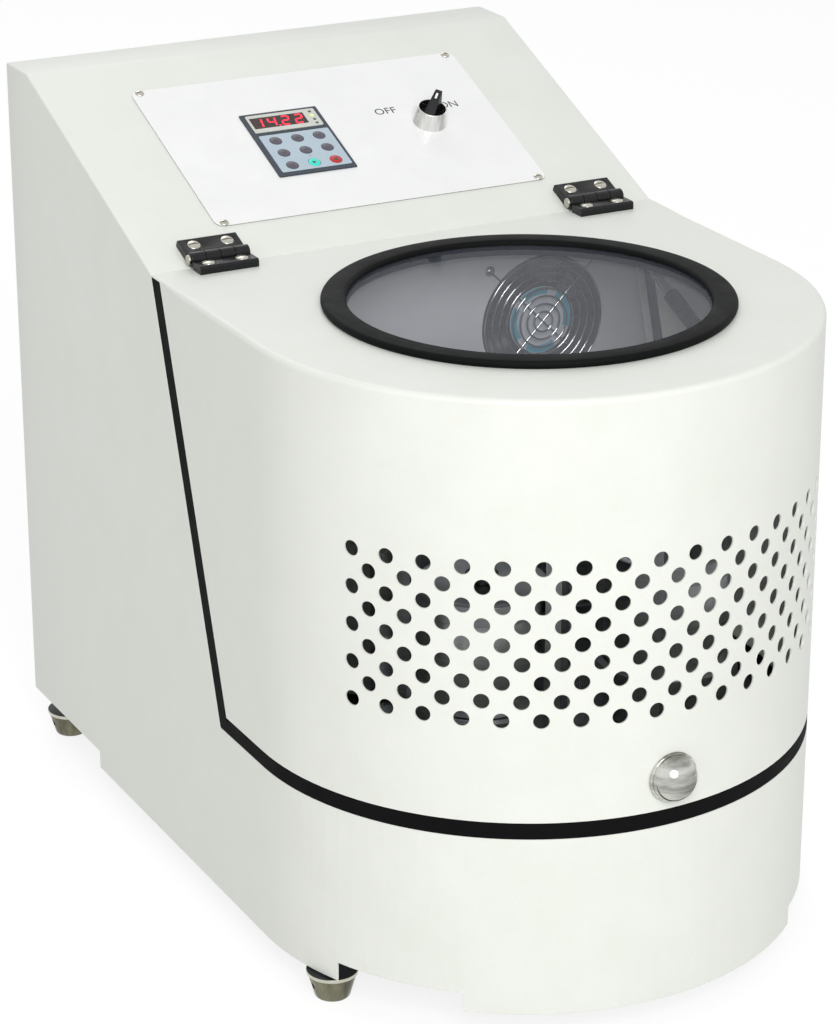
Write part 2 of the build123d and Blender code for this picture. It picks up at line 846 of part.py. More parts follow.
def hinge_half(centre_x, tilt, reach):
    # One half of a hinge, with every second knuckle: the pin stands over the hinge line, which the
    # leaf's own plane leaves at the angle tilt
    half = hinge_width / 2
    pin_s = hinge_pin_height * math.sin(tilt)
    pin_n = hinge_pin_height * math.cos(tilt)
    start = pin_s + hinge_barrel_radius + hinge_knuckle_gap
    leaf = box_between((-half, start, 0), (half, reach, hinge_leaf_thickness))
    top_edges = leaf.faces().sort_by(Axis.Z)[-1].edges().filter_by(Axis.X).sort_by(Axis.Y)[-1:]
    leaf = chamfer(top_edges, hinge_chamfer)
    for index in range(0, hinge_knuckles, 2):
        low, high = knuckle_span(index)
        leaf += Pos(0, pin_s, pin_n) * along_x(hinge_barrel_radius, low, high)
        web_low = (low, pin_s, pin_n - hinge_barrel_radius / 2)
        web_high = (high, start + hinge_chamfer, hinge_leaf_thickness)
        leaf += box_between(web_low, web_high)
    leaf -= Pos(0, pin_s, pin_n) * along_x(hinge_pin_radius + running_gap, -hinge_width, hinge_width)
    for side in (-1, 1):
        seat = countersink(screw_head, screw_shank, screw_length, fit_gap)
        leaf -= Pos(side * hinge_screw_spacing / 2, reach - hinge_screw_inset, hinge_leaf_thickness) * seat
    return Pos(centre_x, 0, 0) * leaf


hood_plane = Plane(origin=(0, hinge_y, hood_top_z), x_dir=(-1, 0, 0), z_dir=(0, 0, 1))


def hinge_fixed_leaves():
    # Leaves on the console slope, each with the hinge's pin in its knuckles
    solids = []
    for x in hinge_centres:
        solids.append(slope * hinge_half(x, slope_angle, hinge_fixed_reach))
        pin = along_x(hinge_pin_radius, -hinge_width / 2, hinge_width / 2)
        pin += along_x(hinge_pin_head[0], -hinge_width / 2 - hinge_pin_head[1], -hinge_width / 2)
        solids.append(Pos(x, hinge_y, hinge_axis_z) * pin)
    return group(solids)


def hinge_moving_leaves():
    # Leaves on the hood's level top: the same half, turned to face the front, so its x runs to the left
    return group([hood_plane * hinge_half(-x, 0, hinge_moving_reach) for x in hinge_centres])


def hinge_hood_screws():
    screw = countersunk(screw_head, screw_shank, screw_length)
    place_z = hood_top_z + hinge_leaf_thickness
    return group([Pos(x, hinge_moving_screw_y, place_z) * screw for x in hinge_screw_xs])


def housing_screws():
    # Screws of the console plate, the fixed hinge leaves, the rear cover and the fan
    plate_screw = raised_screw(plate_screw_head, plate_screw_rise, plate_screw_shank, plate_screw_length)
    hinge_screw = countersunk(screw_head, screw_shank, screw_length)
    fan_screw = raised_screw(guard_screw_radius, guard_screw_height, fan_bolt_radius - fit_gap, fan_depth / 2)
    solids = [slope * Pos(x, s, plate_thickness) * plate_screw for x, s in plate_screw_places]
    for x in hinge_screw_xs:
        solids.append(slope * Pos(x, hinge_fixed_screw_s, hinge_leaf_thickness) * hinge_screw)
    for x, z in cover_screw_places:
        solids.append(Pos(x, rear_y + cover_thickness, z) * Rot(-90, 0, 0) * plate_screw)
    for x, z in fan_bolt_places():
        solids.append(Pos(x, bulkhead_y - guard_wire, z) * Rot(90, 0, 0) * fan_screw)
    return group(solids)


def fan_housing():
    # Square fan frame with the motor boss on four spokes, behind the bulkhead
    low_y = bulkhead_y + sheet
    high_y = low_y + fan_depth
    half = fan_size / 2
    frame = box_between((fan_x - half, low_y, fan_z - half), (fan_x + half, high_y, fan_z + half))
    middle = Pos(fan_x, (low_y + high_y) / 2, fan_z) * Rot(90, 0, 0)
    frame -= middle * Cylinder(fan_bore_radius, fan_depth + overrun)
    for x, z in fan_bolt_places():
        bolt_bore = Cylinder(fan_bolt_radius, fan_depth + overrun)
        frame -= Pos(x, (low_y + high_y) / 2, z) * Rot(90, 0, 0) * bolt_bore
    boss_y = high_y - fan_motor_depth / 2
    boss = Pos(fan_x, boss_y, fan_z) * Rot(90, 0, 0)
    frame += boss * Cylinder(fan_motor_radius, fan_motor_depth)
    for turn in (0, 90):
        bar = Box(2 * fan_bore_radius + fan_spoke, fan_spoke, fan_spoke)
        spoke = Pos(fan_x, boss_y, fan_z) * Rot(0, turn, 0) * bar
        frame += spoke
    frame -= boss * Cylinder(fan_shaft_radius + running_gap, fan_motor_depth + overrun)
    return frame


def fan_rotor():
    # Hub with pitched blades
    low_y = bulkhead_y + sheet + fan_tip_gap
    high_y = bulkhead_y + sheet + fan_depth - fan_motor_depth - fan_tip_gap
    depth = high_y - low_y
    hub = Cylinder(fan_hub_radius, depth)
    tip = fan_bore_radius - fan_tip_gap
    reach = tip - fan_hub_radius + fan_blade_thickness
    for i in range(fan_blades):
        blade = Pos(fan_hub_radius + reach / 2 - fan_blade_thickness, 0, 0) * Rot(fan_blade_pitch, 0, 0)
        blade = blade * Box(reach, fan_blade_chord, fan_blade_thickness)
        hub += Rot(0, 0, 360 * i / fan_blades) * blade
    hub &= Cylinder(tip, depth)
    shaft_reach = fan_tip_gap + fan_motor_depth
    hub += rod(fan_shaft_radius, -depth / 2 - shaft_reach, 0)
    return Pos(fan_x, (low_y + high_y) / 2, fan_z) * Rot(90, 0, 0) * hub


def fan_guard():
    # Wire rings on two crossed wires, which end in loops under the fan screws
    wire = guard_wire / 2
    guard = None
    for i in range(guard_rings):
        ring = Torus(guard_first_radius + i * guard_pitch, wire)
        guard = ring if guard is None else guard + ring
    reach = fan_bolt_spacing / math.sqrt(2)
    arm_z = -wire - wire / 2
    for turn in (45, 135):
        straight = Cylinder(wire, 2 * (reach - guard_loop_radius + wire))
        arm = Rot(0, 0, turn) * Pos(0, 0, arm_z) * Rot(0, 90, 0) * straight
        guard += arm
    for turn in (45, 135, 225, 315):
        loop = Rot(0, 0, turn) * Pos(reach, 0, arm_z) * Torus(guard_loop_radius - wire, wire)
        guard += loop
    return Pos(fan_x, bulkhead_y + arm_z - wire, fan_z) * Rot(90, 0, 0) * guard


strut_run = (strut_tip_y - strut_base_y, strut_tip_z - strut_base_z)
strut_rest_length = math.hypot(*strut_run)
strut_plane = Plane(
    origin=(strut_x, strut_base_y, strut_base_z),
    x_dir=(1, 0, 0),
    z_dir=(0, strut_run[0] / strut_rest_length, strut_run[1] / strut_rest_length),
)


def strut_cylinder():
    # Tube with a closed bottom, a guide for the rod and, beside the hood's stud, a closed socket of its width
    low = strut_eye_radius - strut_wall
    body = tube(strut_radius, strut_radius - strut_wall, low, strut_length)
    body += rod(strut_radius, low, low + strut_wall)
    neck_low = strut_length - strut_piston_length
    body += tube(strut_radius, strut_rod_radius + running_gap, neck_low, strut_length)
    body += along_x(strut_eye_radius, -strut_radius, strut_radius)
    return strut_plane * body


def strut_rod():
    # Rod with its piston inside the tube and an eye on the bulkhead's stud
    low = strut_eye_radius + strut_wall
    body = rod(strut_rod_radius, low, strut_rest_length - strut_eye_radius + strut_wall)
    body += rod(strut_radius - strut_wall - running_gap, low, low + strut_piston_length)
    eye = Pos(0, 0, strut_rest_length)
    body += eye * along_x(strut_eye_radius, -strut_eye_width / 2, strut_eye_width / 2)
    body -= eye * along_x(strut_stud_radius + running_gap, -strut_eye_width, strut_eye_width)
    return strut_plane * body


def control_plate():
    face = RectangleRounded(plate_width, plate_height, plate_corner)
    plate = extrude(slope * Pos(0, plate_centre_s) * face, plate_thickness)
    plate -= extrude(slope * console_cutouts(), amount=sheet + overrun, both=True)
    for x, s in plate_screw_places:
        plate -= slope * Pos(x, s) * Cylinder(plate_screw_shank + fit_gap, 2 * (sheet + overrun))
    return plate


keypad_plane = slope * Pos(keypad_x, keypad_s, plate_thickness)
key_places = [(x, s) for s in key_rows_s for x in key_columns_x]


def keypad_frame():
    # Operating unit: a thin front frame with key wells, and its body behind the slope
    unit = extrude(RectangleRounded(keypad_width, keypad_height, keypad_corner), keypad_rise)
    unit += extrude(Rectangle(keypad_body_width, keypad_body_height), -keypad_body_depth)
    pocket = Box(lens_width + fit_gap, lens_height + fit_gap, 2 * lens_pocket)
    pocket = Pos(0, lens_rise, keypad_rise) * pocket
    unit -= pocket
    well_low = keypad_rise + key_proud - key_length - key_travel - key_well_gap
    for x, s in key_places:
        unit -= rod(key_radius + fit_gap, well_low, keypad_rise + overrun, x, s)
    return keypad_plane * unit


def display_lens():
    low = keypad_rise - lens_pocket
    lens = Box(lens_width, lens_height, lens_thickness)
    return keypad_plane * Pos(0, lens_rise, low + lens_thickness / 2) * lens


def keypad_key(index):
    x, s = key_places[index]
    top = keypad_rise + key_proud
    key = rod(key_radius, top - key_length, top, x, s)
    return keypad_plane * key


switch_plane = slope * Pos(switch_x, switch_s, plate_thickness)


def switch_bezel():
    # Bright ring on the plate, with the threaded neck and contact block behind it
    ring = turned([
        (0, 0), (bezel_base_radius, 0), (bezel_top_radius, bezel_height), (bezel_bore_radius, bezel_height),
        (bezel_bore_radius, bezel_floor), (0, bezel_floor),
    ])
    ring += rod(switch_neck_radius, -switch_neck_depth, 0)
    block_z = -switch_neck_depth - switch_block_depth / 2
    ring += Pos(0, 0, block_z) * Box(switch_block, switch_block, switch_block_depth)
    bore_low = bezel_floor - selector_shaft_depth - flat_gap
    ring -= rod(selector_shaft_radius + running_gap, bore_low, bezel_height)
    return switch_plane * ring


def selector_knob():
    # Pointer lever rising from a disc inside the ring
    low = bezel_floor + flat_gap
    profile = Polygon(
        (-lever_back, low), (lever_front, low),
        (lever_tip, lever_tip_top), (lever_tip - lever_tip_land, lever_tip_top),
        (-lever_back, lever_back_top), align=None,
    )
    lever = extrude(Plane.XZ * profile, amount=lever_base_width / 2, both=True)
    taper = Polygon(
        (-lever_base_width / 2, low), (lever_base_width / 2, low), (lever_tip_width / 2, lever_tip_top),
        (-lever_tip_width / 2, lever_tip_top), align=None,
    )
    lever &= extrude(Plane.YZ * taper, amount=cabinet_width, both=True)
    lever -= tube(cabinet_width, selector_radius, low, bezel_height + flat_gap)
    knob = rod(selector_radius, low, low + selector_disc) + lever
    knob += rod(selector_shaft_radius, bezel_floor - selector_shaft_depth, low)
    return switch_plane * Rot(0, 0, switch_rest_angle) * knob


def gear_face(teeth):
    # Spur gear outline: involute flanks, thinned for backlash, a tooth centred on +X
    pitch_radius = module * teeth / 2
    base_radius = pitch_radius * math.cos(math.radians(pressure_angle))
    tip_radius = pitch_radius + gear_addendum_share * module
    root_radius = pitch_radius - (gear_addendum_share + gear_clearance_share) * module
    start_radius = max(base_radius, root_radius)
    involute = math.tan(math.radians(pressure_angle)) - math.radians(pressure_angle)
    half_tooth = math.pi / (2 * teeth) - gear_backlash / (2 * pitch_radius) + involute
    flank = []
    for i in range(flank_points):
        radius = start_radius + (tip_radius - start_radius) * i / (flank_points - 1)
        roll = math.acos(base_radius / radius)
        flank.append((radius, half_tooth - (math.tan(roll) - roll)))
    points = []
    for tooth in range(teeth):
        middle = 2 * math.pi * tooth / teeth
        side = [(root_radius, half_tooth)] + flank
        angles = [(r, middle - a) for r, a in side] + [(r, middle + a) for r, a in reversed(side)]
        points += [(r * math.cos(a), r * math.sin(a)) for r, a in angles]
    return Polygon(*points, align=None)


def sun_gear():
    face = gear_face(sun_teeth) - Circle(sun_bore_radius)
    return extrude(Pos(0, front_y, gear_low) * face, gear_width)


def bearing_housing():
    # Flanged hub on the deck that holds the two main bearings
    low = deck_low - hub_drop
    body = turned([
        (0, low), (hub_radius, low), (hub_radius, deck_top), (hub_flange_radius, deck_top),
        (hub_flange_radius, deck_top + hub_flange_height), (hub_radius, deck_top + hub_flange_height),
        (hub_radius, hub_top), (0, hub_top),
    ])
    body -= rod(bearing_outer_radius - bearing_lip, low - overrun, hub_top + overrun)
    body -= rod(bearing_outer_radius, low - overrun, low + bearing_width)
    body -= rod(bearing_outer_radius, low + bearing_width + bearing_shoulder, hub_top + overrun)
    for x, y in bolt_places()[:hub_bolts]:
        body -= rod(bolt_shank_radius + fit_gap, low, hub_top, x, y - front_y)
    return Pos(0, front_y, 0) * body


def ball_bearing(outer, inner, width, race):
    # Two rings with the cage space between them filled by a thinner shield
    rings = tube(outer, outer - race, 0, width) + tube(inner + race, inner, 0, width)
    inset = shield_inset_share * race
    shield = tube(outer - race, inner + race, inset, width - inset)
    return rings + shield


def main_bearings():
    low = deck_low - hub_drop
    bearing = ball_bearing(bearing_outer_radius, main_shaft_radius + running_gap, bearing_width, bearing_race)
    upper = low + bearing_width + bearing_shoulder
    return group([Pos(0, front_y, low) * bearing, Pos(0, front_y, upper) * bearing])


def station_angle(index):
    return math.radians(station_start_angle + 360 * index / station_count)


def station_place(index):
    angle = station_angle(index)
    return centre_distance * math.cos(angle), front_y + centre_distance * math.sin(angle)


def turntable():
    # Driven disc with a central hub and four bearing bosses
    disc_low = table_low + turntable_boss_drop
    table = turned([
        (0, table_low), (turntable_hub_radius, table_low), (turntable_hub_radius, disc_low),
        (turntable_radius, disc_low), (turntable_radius, table_top - turntable_rim_chamfer),
        (turntable_radius - turntable_rim_chamfer, table_top), (0, table_top),
    ])
    table = Pos(0, front_y, 0) * table
    for i in range(station_count):
        x, y = station_place(i)
        table += rod(planet_boss_radius, table_low, disc_low, x, y)
    for i in range(station_count):
        x, y = station_place(i)
        table -= rod(planet_bearing_radius - planet_seat_lip, table_low - overrun, table_top + overrun, x, y)
        seat_low = table_top - 2 * planet_seat_lip - planet_bearing_width
        table -= rod(planet_bearing_radius, seat_low, table_top + overrun, x, y)
    table -= rod(main_shaft_radius, table_low - overrun, table_top + overrun, 0, front_y)
    return table


def planet_bearings():
    bearing = ball_bearing(planet_bearing_radius, planet_shaft_radius, planet_bearing_width, planet_race)
    low = table_top - 2 * planet_seat_lip - planet_bearing_width
    solids = []
    for i in range(station_count):
        x, y = station_place(i)
        solids.append(Pos(x, y, low) * bearing)
    return group(solids)


def main_shaft():
    # Stepped shaft with the nut that holds the turntable down
    nut_top = table_top + nut_height
    shaft = turned([
        (0, main_shaft_low), (main_shaft_radius, main_shaft_low), (main_shaft_radius, table_top),
        (spindle_thread_radius, table_top),
        (spindle_thread_radius, nut_top + overrun), (0, nut_top + overrun),
    ])
    nut_face = RegularPolygon(nut_radius, 6) - Circle(spindle_thread_radius)
    nut = extrude(Pos(0, 0, table_top) * nut_face, nut_height)
    return group([Pos(0, front_y, 0) * shaft, Pos(0, front_y, 0) * nut])


def pulley(radius, bore, y):
    face_low = pulley_low + pulley_flange
    face_high = pulley_low + pulley_width - pulley_flange
    rim = radius + pulley_flange_rise
    wheel = turned([
        (bore, pulley_low), (rim, pulley_low), (rim, face_low), (radius, face_low), (radius, face_high),
        (rim, face_high), (rim, pulley_low + pulley_width), (bore, pulley_low + pulley_width),
    ])
    return Pos(0, y, 0) * wheel


def drive_belt():
    # Flat belt round both pulleys, drawn clear of their faces by the running gap
    def loop(extra):
        driven = Pos(0, front_y) * Circle(driven_pulley_radius + extra)
        drive = Pos(0, motor_y) * Circle(drive_pulley_radius + extra)
        return make_hull(driven.edges() + drive.edges())

    face = loop(flat_gap + belt_thickness) - loop(flat_gap)
    low = pulley_low + (pulley_width - belt_width) / 2
    return extrude(Pos(0, 0, low) * face, belt_width)


def drive_motor():
    # Flange-mounted motor standing on the deck, with cooling fins and a terminal box
    top = deck_top + motor_flange_height + motor_length
    body = rod(motor_flange_radius, deck_top, deck_top + motor_flange_height)
    core = motor_radius - motor_fin_depth
    body += rod(core, deck_top + motor_flange_height, top)
    fin_low = deck_top + 2 * motor_flange_height
    fin_high = top - motor_flange_height
    for i in range(motor_fins):
        half = motor_fin_thickness / 2
        fin = box_between((0, -half, fin_low), (motor_radius, half, fin_high))
        body += Rot(0, 0, 360 * (i + 1 / 2) / motor_fins) * fin
    box_z = (fin_low + fin_high) / 2
    body += Pos(0, core + terminal_box[1] / 2, box_z) * Box(*terminal_box)
    body -= rod(motor_shaft_radius + running_gap, deck_top - overrun, top - motor_flange_height)
    for x, y in bolt_places()[hub_bolts:]:
        hole_top = deck_top + motor_flange_height + overrun
        body -= rod(bolt_shank_radius + fit_gap, deck_top - overrun, hole_top, x, y - motor_y)
    return Pos(0, motor_y, 0) * body


def motor_shaft():
    top = deck_top + motor_length - flat_gap
    return rod(motor_shaft_radius, motor_shaft_low, top, 0, motor_y)


def inverter_box():
    # Speed controller with a finned back
    x = -front_radius + inverter_inset[0]
    y = rear_y - inverter_inset[1]
    box = Pos(x, y, deck_top + inverter_size[2] / 2) * Box(*inverter_size)
    pitch = inverter_size[0] / inverter_fins
    for i in range(inverter_fins - 1):
        cut_x = x - inverter_size[0] / 2 + (i + 1) * pitch
        cut_y = y - inverter_size[1] / 2
        box -= box_between(
            (cut_x - (pitch - inverter_fin) / 2, cut_y - overrun, deck_top + inverter_fin_depth),
            (
                cut_x + (pitch - inverter_fin) / 2, cut_y + inverter_fin_depth,
                deck_top + inverter_size[2] + overrun,
            ),
        )
    return box


holder_low = table_top + pinion_gap + pinion_flange_height
jar_low = holder_low + holder_floor
lid_low = jar_low + jar_height
bridge_z = holder_low + bridge_low


def pinion_shaft(index):
    # Planet gear cut on its own shaft, a gap of the gear facing the sun gear
    x, y = station_place(index)
    mesh_turn = math.degrees(station_angle(index)) + 180 / planet_teeth + 180
    gear = extrude(Rot(0, 0, mesh_turn) * Pos(0, 0, gear_low) * gear_face(planet_teeth), gear_width)
    shaft = rod(planet_shaft_radius - running_gap, gear_top, holder_low)
    flange = rod(pinion_flange_radius, holder_low - pinion_flange_height, holder_low)
    return Pos(x, y, 0) * (gear + shaft + flange)


def jar_holder(index):
    # Cup for the jar with two posts and the clamp's bridge
    cup_top = holder_low + holder_height
    cup = rod(holder_radius, holder_low, cup_top)
    cup -= rod(holder_radius - holder_wall, jar_low, cup_top + overrun)
    bridge_top = bridge_z + bridge_height
    frame = cup
    for side in (-1, 1):
        near = side * (post_centre - post_depth / 2)
        far = side * (post_centre + post_depth / 2)
        post = box_between(
            (min(near, far), -post_width / 2, holder_low), (max(near, far), post_width / 2, bridge_top)
        )
        frame += post
    half = post_centre + post_depth / 2
    frame += box_between((-half, -post_width / 2, bridge_z), (half, post_width / 2, bridge_top))
    frame -= rod(clamp_radius + running_gap, bridge_z - overrun, bridge_top + overrun)
    x, y = station_place(index)
    turn = math.degrees(station_angle(index)) + 90
    return Pos(x, y, 0) * Rot(0, 0, turn) * frame


def grinding_jar(index):
    jar = rod(jar_radius, jar_low, lid_low)
    jar -= rod(jar_radius - jar_wall, jar_low + jar_floor, lid_low + overrun)
    jar = fillet(jar.faces().sort_by(Axis.Z)[0].edges(), jar_round)
    x, y = station_place(index)
    return Pos(x, y, 0) * jar


def jar_lid(index):
    # Lid with a spigot that centres it in the jar's mouth
    lid = rod(lid_radius, lid_low, lid_low + lid_height)
    lid = chamfer(lid.faces().sort_by(Axis.Z)[-1].edges(), lid_chamfer)
    lid += rod(jar_radius - jar_wall - lid_spigot_gap, lid_low - lid_spigot, lid_low)
    x, y = station_place(index)
    return Pos(x, y, 0) * lid


def clamp_screw(index):
    # Lobed knob on a screw whose pad presses on the lid
    low = lid_low + lid_height + flat_gap
    bridge_top = bridge_z + bridge_height
    knob_low = bridge_top + clamp_rise - clamp_knob_height
    screw = rod(clamp_radius, low, knob_low) + rod(clamp_pad_radius, low, low + clamp_pad_height)
    knob = Circle(clamp_knob_radius - clamp_lobe_radius)
    for i in range(clamp_lobes):
        lobe = Pos(clamp_knob_radius - clamp_lobe_radius, 0) * Circle(clamp_lobe_radius)
        knob += Rot(0, 0, 360 * i / clamp_lobes) * lobe
    screw += extrude(Pos(0, 0, knob_low) * knob, clamp_knob_height)
    x, y = station_place(index)
    return Pos(x, y, 0) * screw


save("cabinet_shell", cabinet_shell())
save("rear_cover", rear_cover())
save("power_inlet", power_inlet())
save("base_pan", base_pan())
save("levelling_feet", levelling_feet())
save("drive_deck", drive_deck())
save("drive_bolts", drive_bolts())
save("bulkhead", bulkhead())
save("hood_seal", hood_seal())
save("hood_shell", hood_shell())
save("window_gasket", window_gasket())
save("window_pane", window_pane())
save("hood_knob", hood_knob())
save("hinge_fixed_leaves", hinge_fixed_leaves())
save("hinge_moving_leaves", hinge_moving_leaves())
save("hinge_hood_screws", hinge_hood_screws())
save("housing_screws", housing_screws())
save("fan_housing", fan_housing())
save("fan_rotor", fan_rotor())
save("fan_guard", fan_guard())
save("strut_cylinder", strut_cylinder())
save("strut_rod", strut_rod())
save("control_plate", control_plate())
save("keypad_frame", keypad_frame())
save("display_lens", display_lens())
for key_index in range(len(key_places)):
    save("keypad_key_" + str(key_index + 1), keypad_key(key_index))
save("switch_bezel", switch_bezel())
save("selector_knob", selector_knob())
save("bearing_housing", bearing_housing())
save("main_bearings", main_bearings())
save("sun_gear", sun_gear())
save("turntable", turntable())
save("planet_bearings", planet_bearings())
save("main_shaft", main_shaft())
save("driven_pulley", pulley(driven_pulley_radius, main_shaft_radius, front_y))
save("drive_pulley", pulley(drive_pulley_radius, motor_shaft_radius, motor_y))
save("drive_belt", drive_belt())
save("drive_motor", drive_motor())
save("motor_shaft", motor_shaft())
save("inverter_box", inverter_box())
for station in range(station_count):
    number = str(station + 1)
    save("jar_holder_" + number, group([pinion_shaft(station), jar_holder(station), jar_lid(station)]))
    save("grinding_jar_" + number, grinding_jar(station))
    save("clamp_screw_" + number, clamp_screw(station))
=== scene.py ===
import json
import math

import bmesh
import bpy
from mathutils import Matrix, Vector


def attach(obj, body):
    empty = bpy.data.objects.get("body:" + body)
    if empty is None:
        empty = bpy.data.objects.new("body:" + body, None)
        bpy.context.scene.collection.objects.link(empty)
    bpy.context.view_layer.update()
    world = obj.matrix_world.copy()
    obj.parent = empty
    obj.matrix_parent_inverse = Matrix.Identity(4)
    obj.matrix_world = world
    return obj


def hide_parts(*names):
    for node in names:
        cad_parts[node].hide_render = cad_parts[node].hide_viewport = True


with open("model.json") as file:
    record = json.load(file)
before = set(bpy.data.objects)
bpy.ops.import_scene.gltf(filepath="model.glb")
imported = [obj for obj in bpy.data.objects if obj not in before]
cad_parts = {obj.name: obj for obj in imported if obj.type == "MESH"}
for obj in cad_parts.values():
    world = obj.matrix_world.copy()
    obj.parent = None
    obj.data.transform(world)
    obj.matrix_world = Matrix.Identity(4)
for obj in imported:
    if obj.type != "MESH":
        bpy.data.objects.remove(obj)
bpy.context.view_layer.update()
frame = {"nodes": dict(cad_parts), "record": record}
scene = bpy.context.scene
mm = 0.001
nodeBody = {node: body for body, nodes in frame["record"]["behaviour"]["bodies"].items() for node in nodes}
print("frame loaded:", len(frame["nodes"]), "nodes")

# Places that several pieces share, in mm
mill = {
    "frontRadius": 235.0, "frontY": -136.5, "rearY": 371.5, "hingeY": 62.5, "hoodTop": 531.5,
    "stripY": 323.0, "top": 638.0, "windowY": -141.0, "fanX": 128.0, "fanZ": 437.0, "bulkheadY": 60.0,
    "motorY": 205.0, "stationReach": 120.0, "plateLift": 1.0, "pullZ": 217.5,
}
slopeAngle = math.atan2(mill["top"] - mill["hoodTop"], mill["stripY"] - mill["hingeY"])
slope = Matrix((
    (1, 0, 0, 0),
    (0, math.cos(slopeAngle), -math.sin(slopeAngle), mill["hingeY"] * mm),
    (0, math.sin(slopeAngle), math.cos(slopeAngle), mill["hoodTop"] * mm),
    (0, 0, 0, 1),
))
stations = [
    (mill["stationReach"] * math.cos(math.radians(45 + 90 * i)),
     mill["frontY"] + mill["stationReach"] * math.sin(math.radians(45 + 90 * i)))
    for i in range(4)
]


def linear(hexText):
    values = [int(hexText[i:i + 2], 16) / 255 for i in (1, 3, 5)]
    return (*[v / 12.92 if v <= 0.04045 else ((v + 0.055) / 1.055) ** 2.4 for v in values], 1.0)


def addNode(tree, kind, inputs=None, **settings):
    # One node with its settings; a list in inputs makes several links to one socket
    node = tree.nodes.new(kind)
    for key, value in settings.items():
        setattr(node, key, value)
    for socket, value in (inputs or {}).items():
        for item in value if isinstance(value, list) else [value]:
            if isinstance(item, bpy.types.NodeSocket):
                tree.links.new(item, node.inputs[socket])
            else:
                node.inputs[socket].default_value = item
    return node


# ---- camera, floor and light
camera = {"place": (-1.2223, -2.2845, 1.3315), "aim": (-0.02496, 0.0, 0.30868), "lens": 115.8}
lens = bpy.data.cameras.new("camera")
lens.lens = camera["lens"]
lens.sensor_width = 36
lens.clip_end = 60
eye = bpy.data.objects.new("camera", lens)
eye.location = camera["place"]
eye.rotation_euler = (Vector(camera["aim"]) - eye.location).to_track_quat("-Z", "Y").to_euler()
scene.collection.objects.link(eye)
scene.camera = eye
scene.view_settings.view_transform = "Standard"

studio = {
    "floor": "#E4E4E2", "floorSeen": "#828281", "floorGlow": 0.82, "backdrop": "#FFFFFF", "skyLevel": 0.57,
    "key": {"place": (-1.27, -3.30, 2.58), "size": 2.4, "power": 109.0},
    "rim": {"place": (0.5, 3.0, 3.0), "size": 2.2, "power": 20.0},
}


def seenRays(tree):
    # 1 for what the camera, a mirror surface or glass looks at
    ray = addNode(tree, "ShaderNodeLightPath")
    plain = addNode(tree, "ShaderNodeMath", {
        0: ray.outputs["Is Camera Ray"], 1: ray.outputs["Is Transmission Ray"]}, operation="MAXIMUM")
    return addNode(tree, "ShaderNodeMath", {0: plain.outputs[0], 1: ray.outputs["Is Glossy Ray"]}, operation="MAXIMUM").outputs[0]


sky = bpy.data.worlds.new("studio")
sky.use_nodes = True
scene.world = sky
skyTree = sky.node_tree
skyTree.nodes.clear()
even = addNode(skyTree, "ShaderNodeBackground", {"Color": linear("#F7F8FA"), "Strength": studio["skyLevel"]})
white = addNode(skyTree, "ShaderNodeBackground", {"Color": linear(studio["backdrop"]), "Strength": 1.0})
both = addNode(skyTree, "ShaderNodeMixShader", {0: seenRays(skyTree), 1: even.outputs[0], 2: white.outputs[0]})
addNode(skyTree, "ShaderNodeOutputWorld", {"Surface": both.outputs[0]})
for name in ("key", "rim"):
    lampData = bpy.data.lights.new(name, "AREA")
    lampData.shape = "DISK"
    lampData.size = studio[name]["size"]
    lampData.energy = studio[name]["power"]
    lamp = bpy.data.objects.new(name, lampData)
    lamp.location = studio[name]["place"]
    lamp.rotation_euler = (Vector((0, 0, 0.3)) - lamp.location).to_track_quat("-Z", "Y").to_euler()
    scene.collection.objects.link(lamp)

floorMesh = bpy.data.meshes.new("floor")
reach = 14.0
floorMesh.from_pydata([(-reach, -reach, 0), (reach, -reach, 0), (reach, reach, 0), (-reach, reach, 0)], [], [(0, 1, 2, 3)])
floor = bpy.data.objects.new("floor", floorMesh)
scene.collection.objects.link(floor)
floorFinish = bpy.data.materials.new("paleVinylFloor")
floorFinish.use_nodes = True
floorTree = floorFinish.node_tree
floorTree.nodes.clear()
# Seen by the camera it is white but for the object's soft shadow; other light finds a plain pale floor
matt = addNode(floorTree, "ShaderNodeBsdfDiffuse", {"Color": linear(studio["floor"])})
dim = addNode(floorTree, "ShaderNodeBsdfDiffuse", {"Color": linear(studio["floorSeen"])})
glow = addNode(floorTree, "ShaderNodeEmission", {"Color": linear(studio["backdrop"]), "Strength": studio["floorGlow"]})
whiteFloor = addNode(floorTree, "ShaderNodeAddShader", {0: dim.outputs[0], 1: glow.outputs[0]})
floorBoth = addNode(floorTree, "ShaderNodeMixShader", {0: seenRays(floorTree), 1: matt.outputs[0], 2: whiteFloor.outputs[0]})
addNode(floorTree, "ShaderNodeOutputMaterial", {"Surface": floorBoth.outputs[0]})
floorMesh.materials.append(floorFinish)
print("camera, floor and light made")


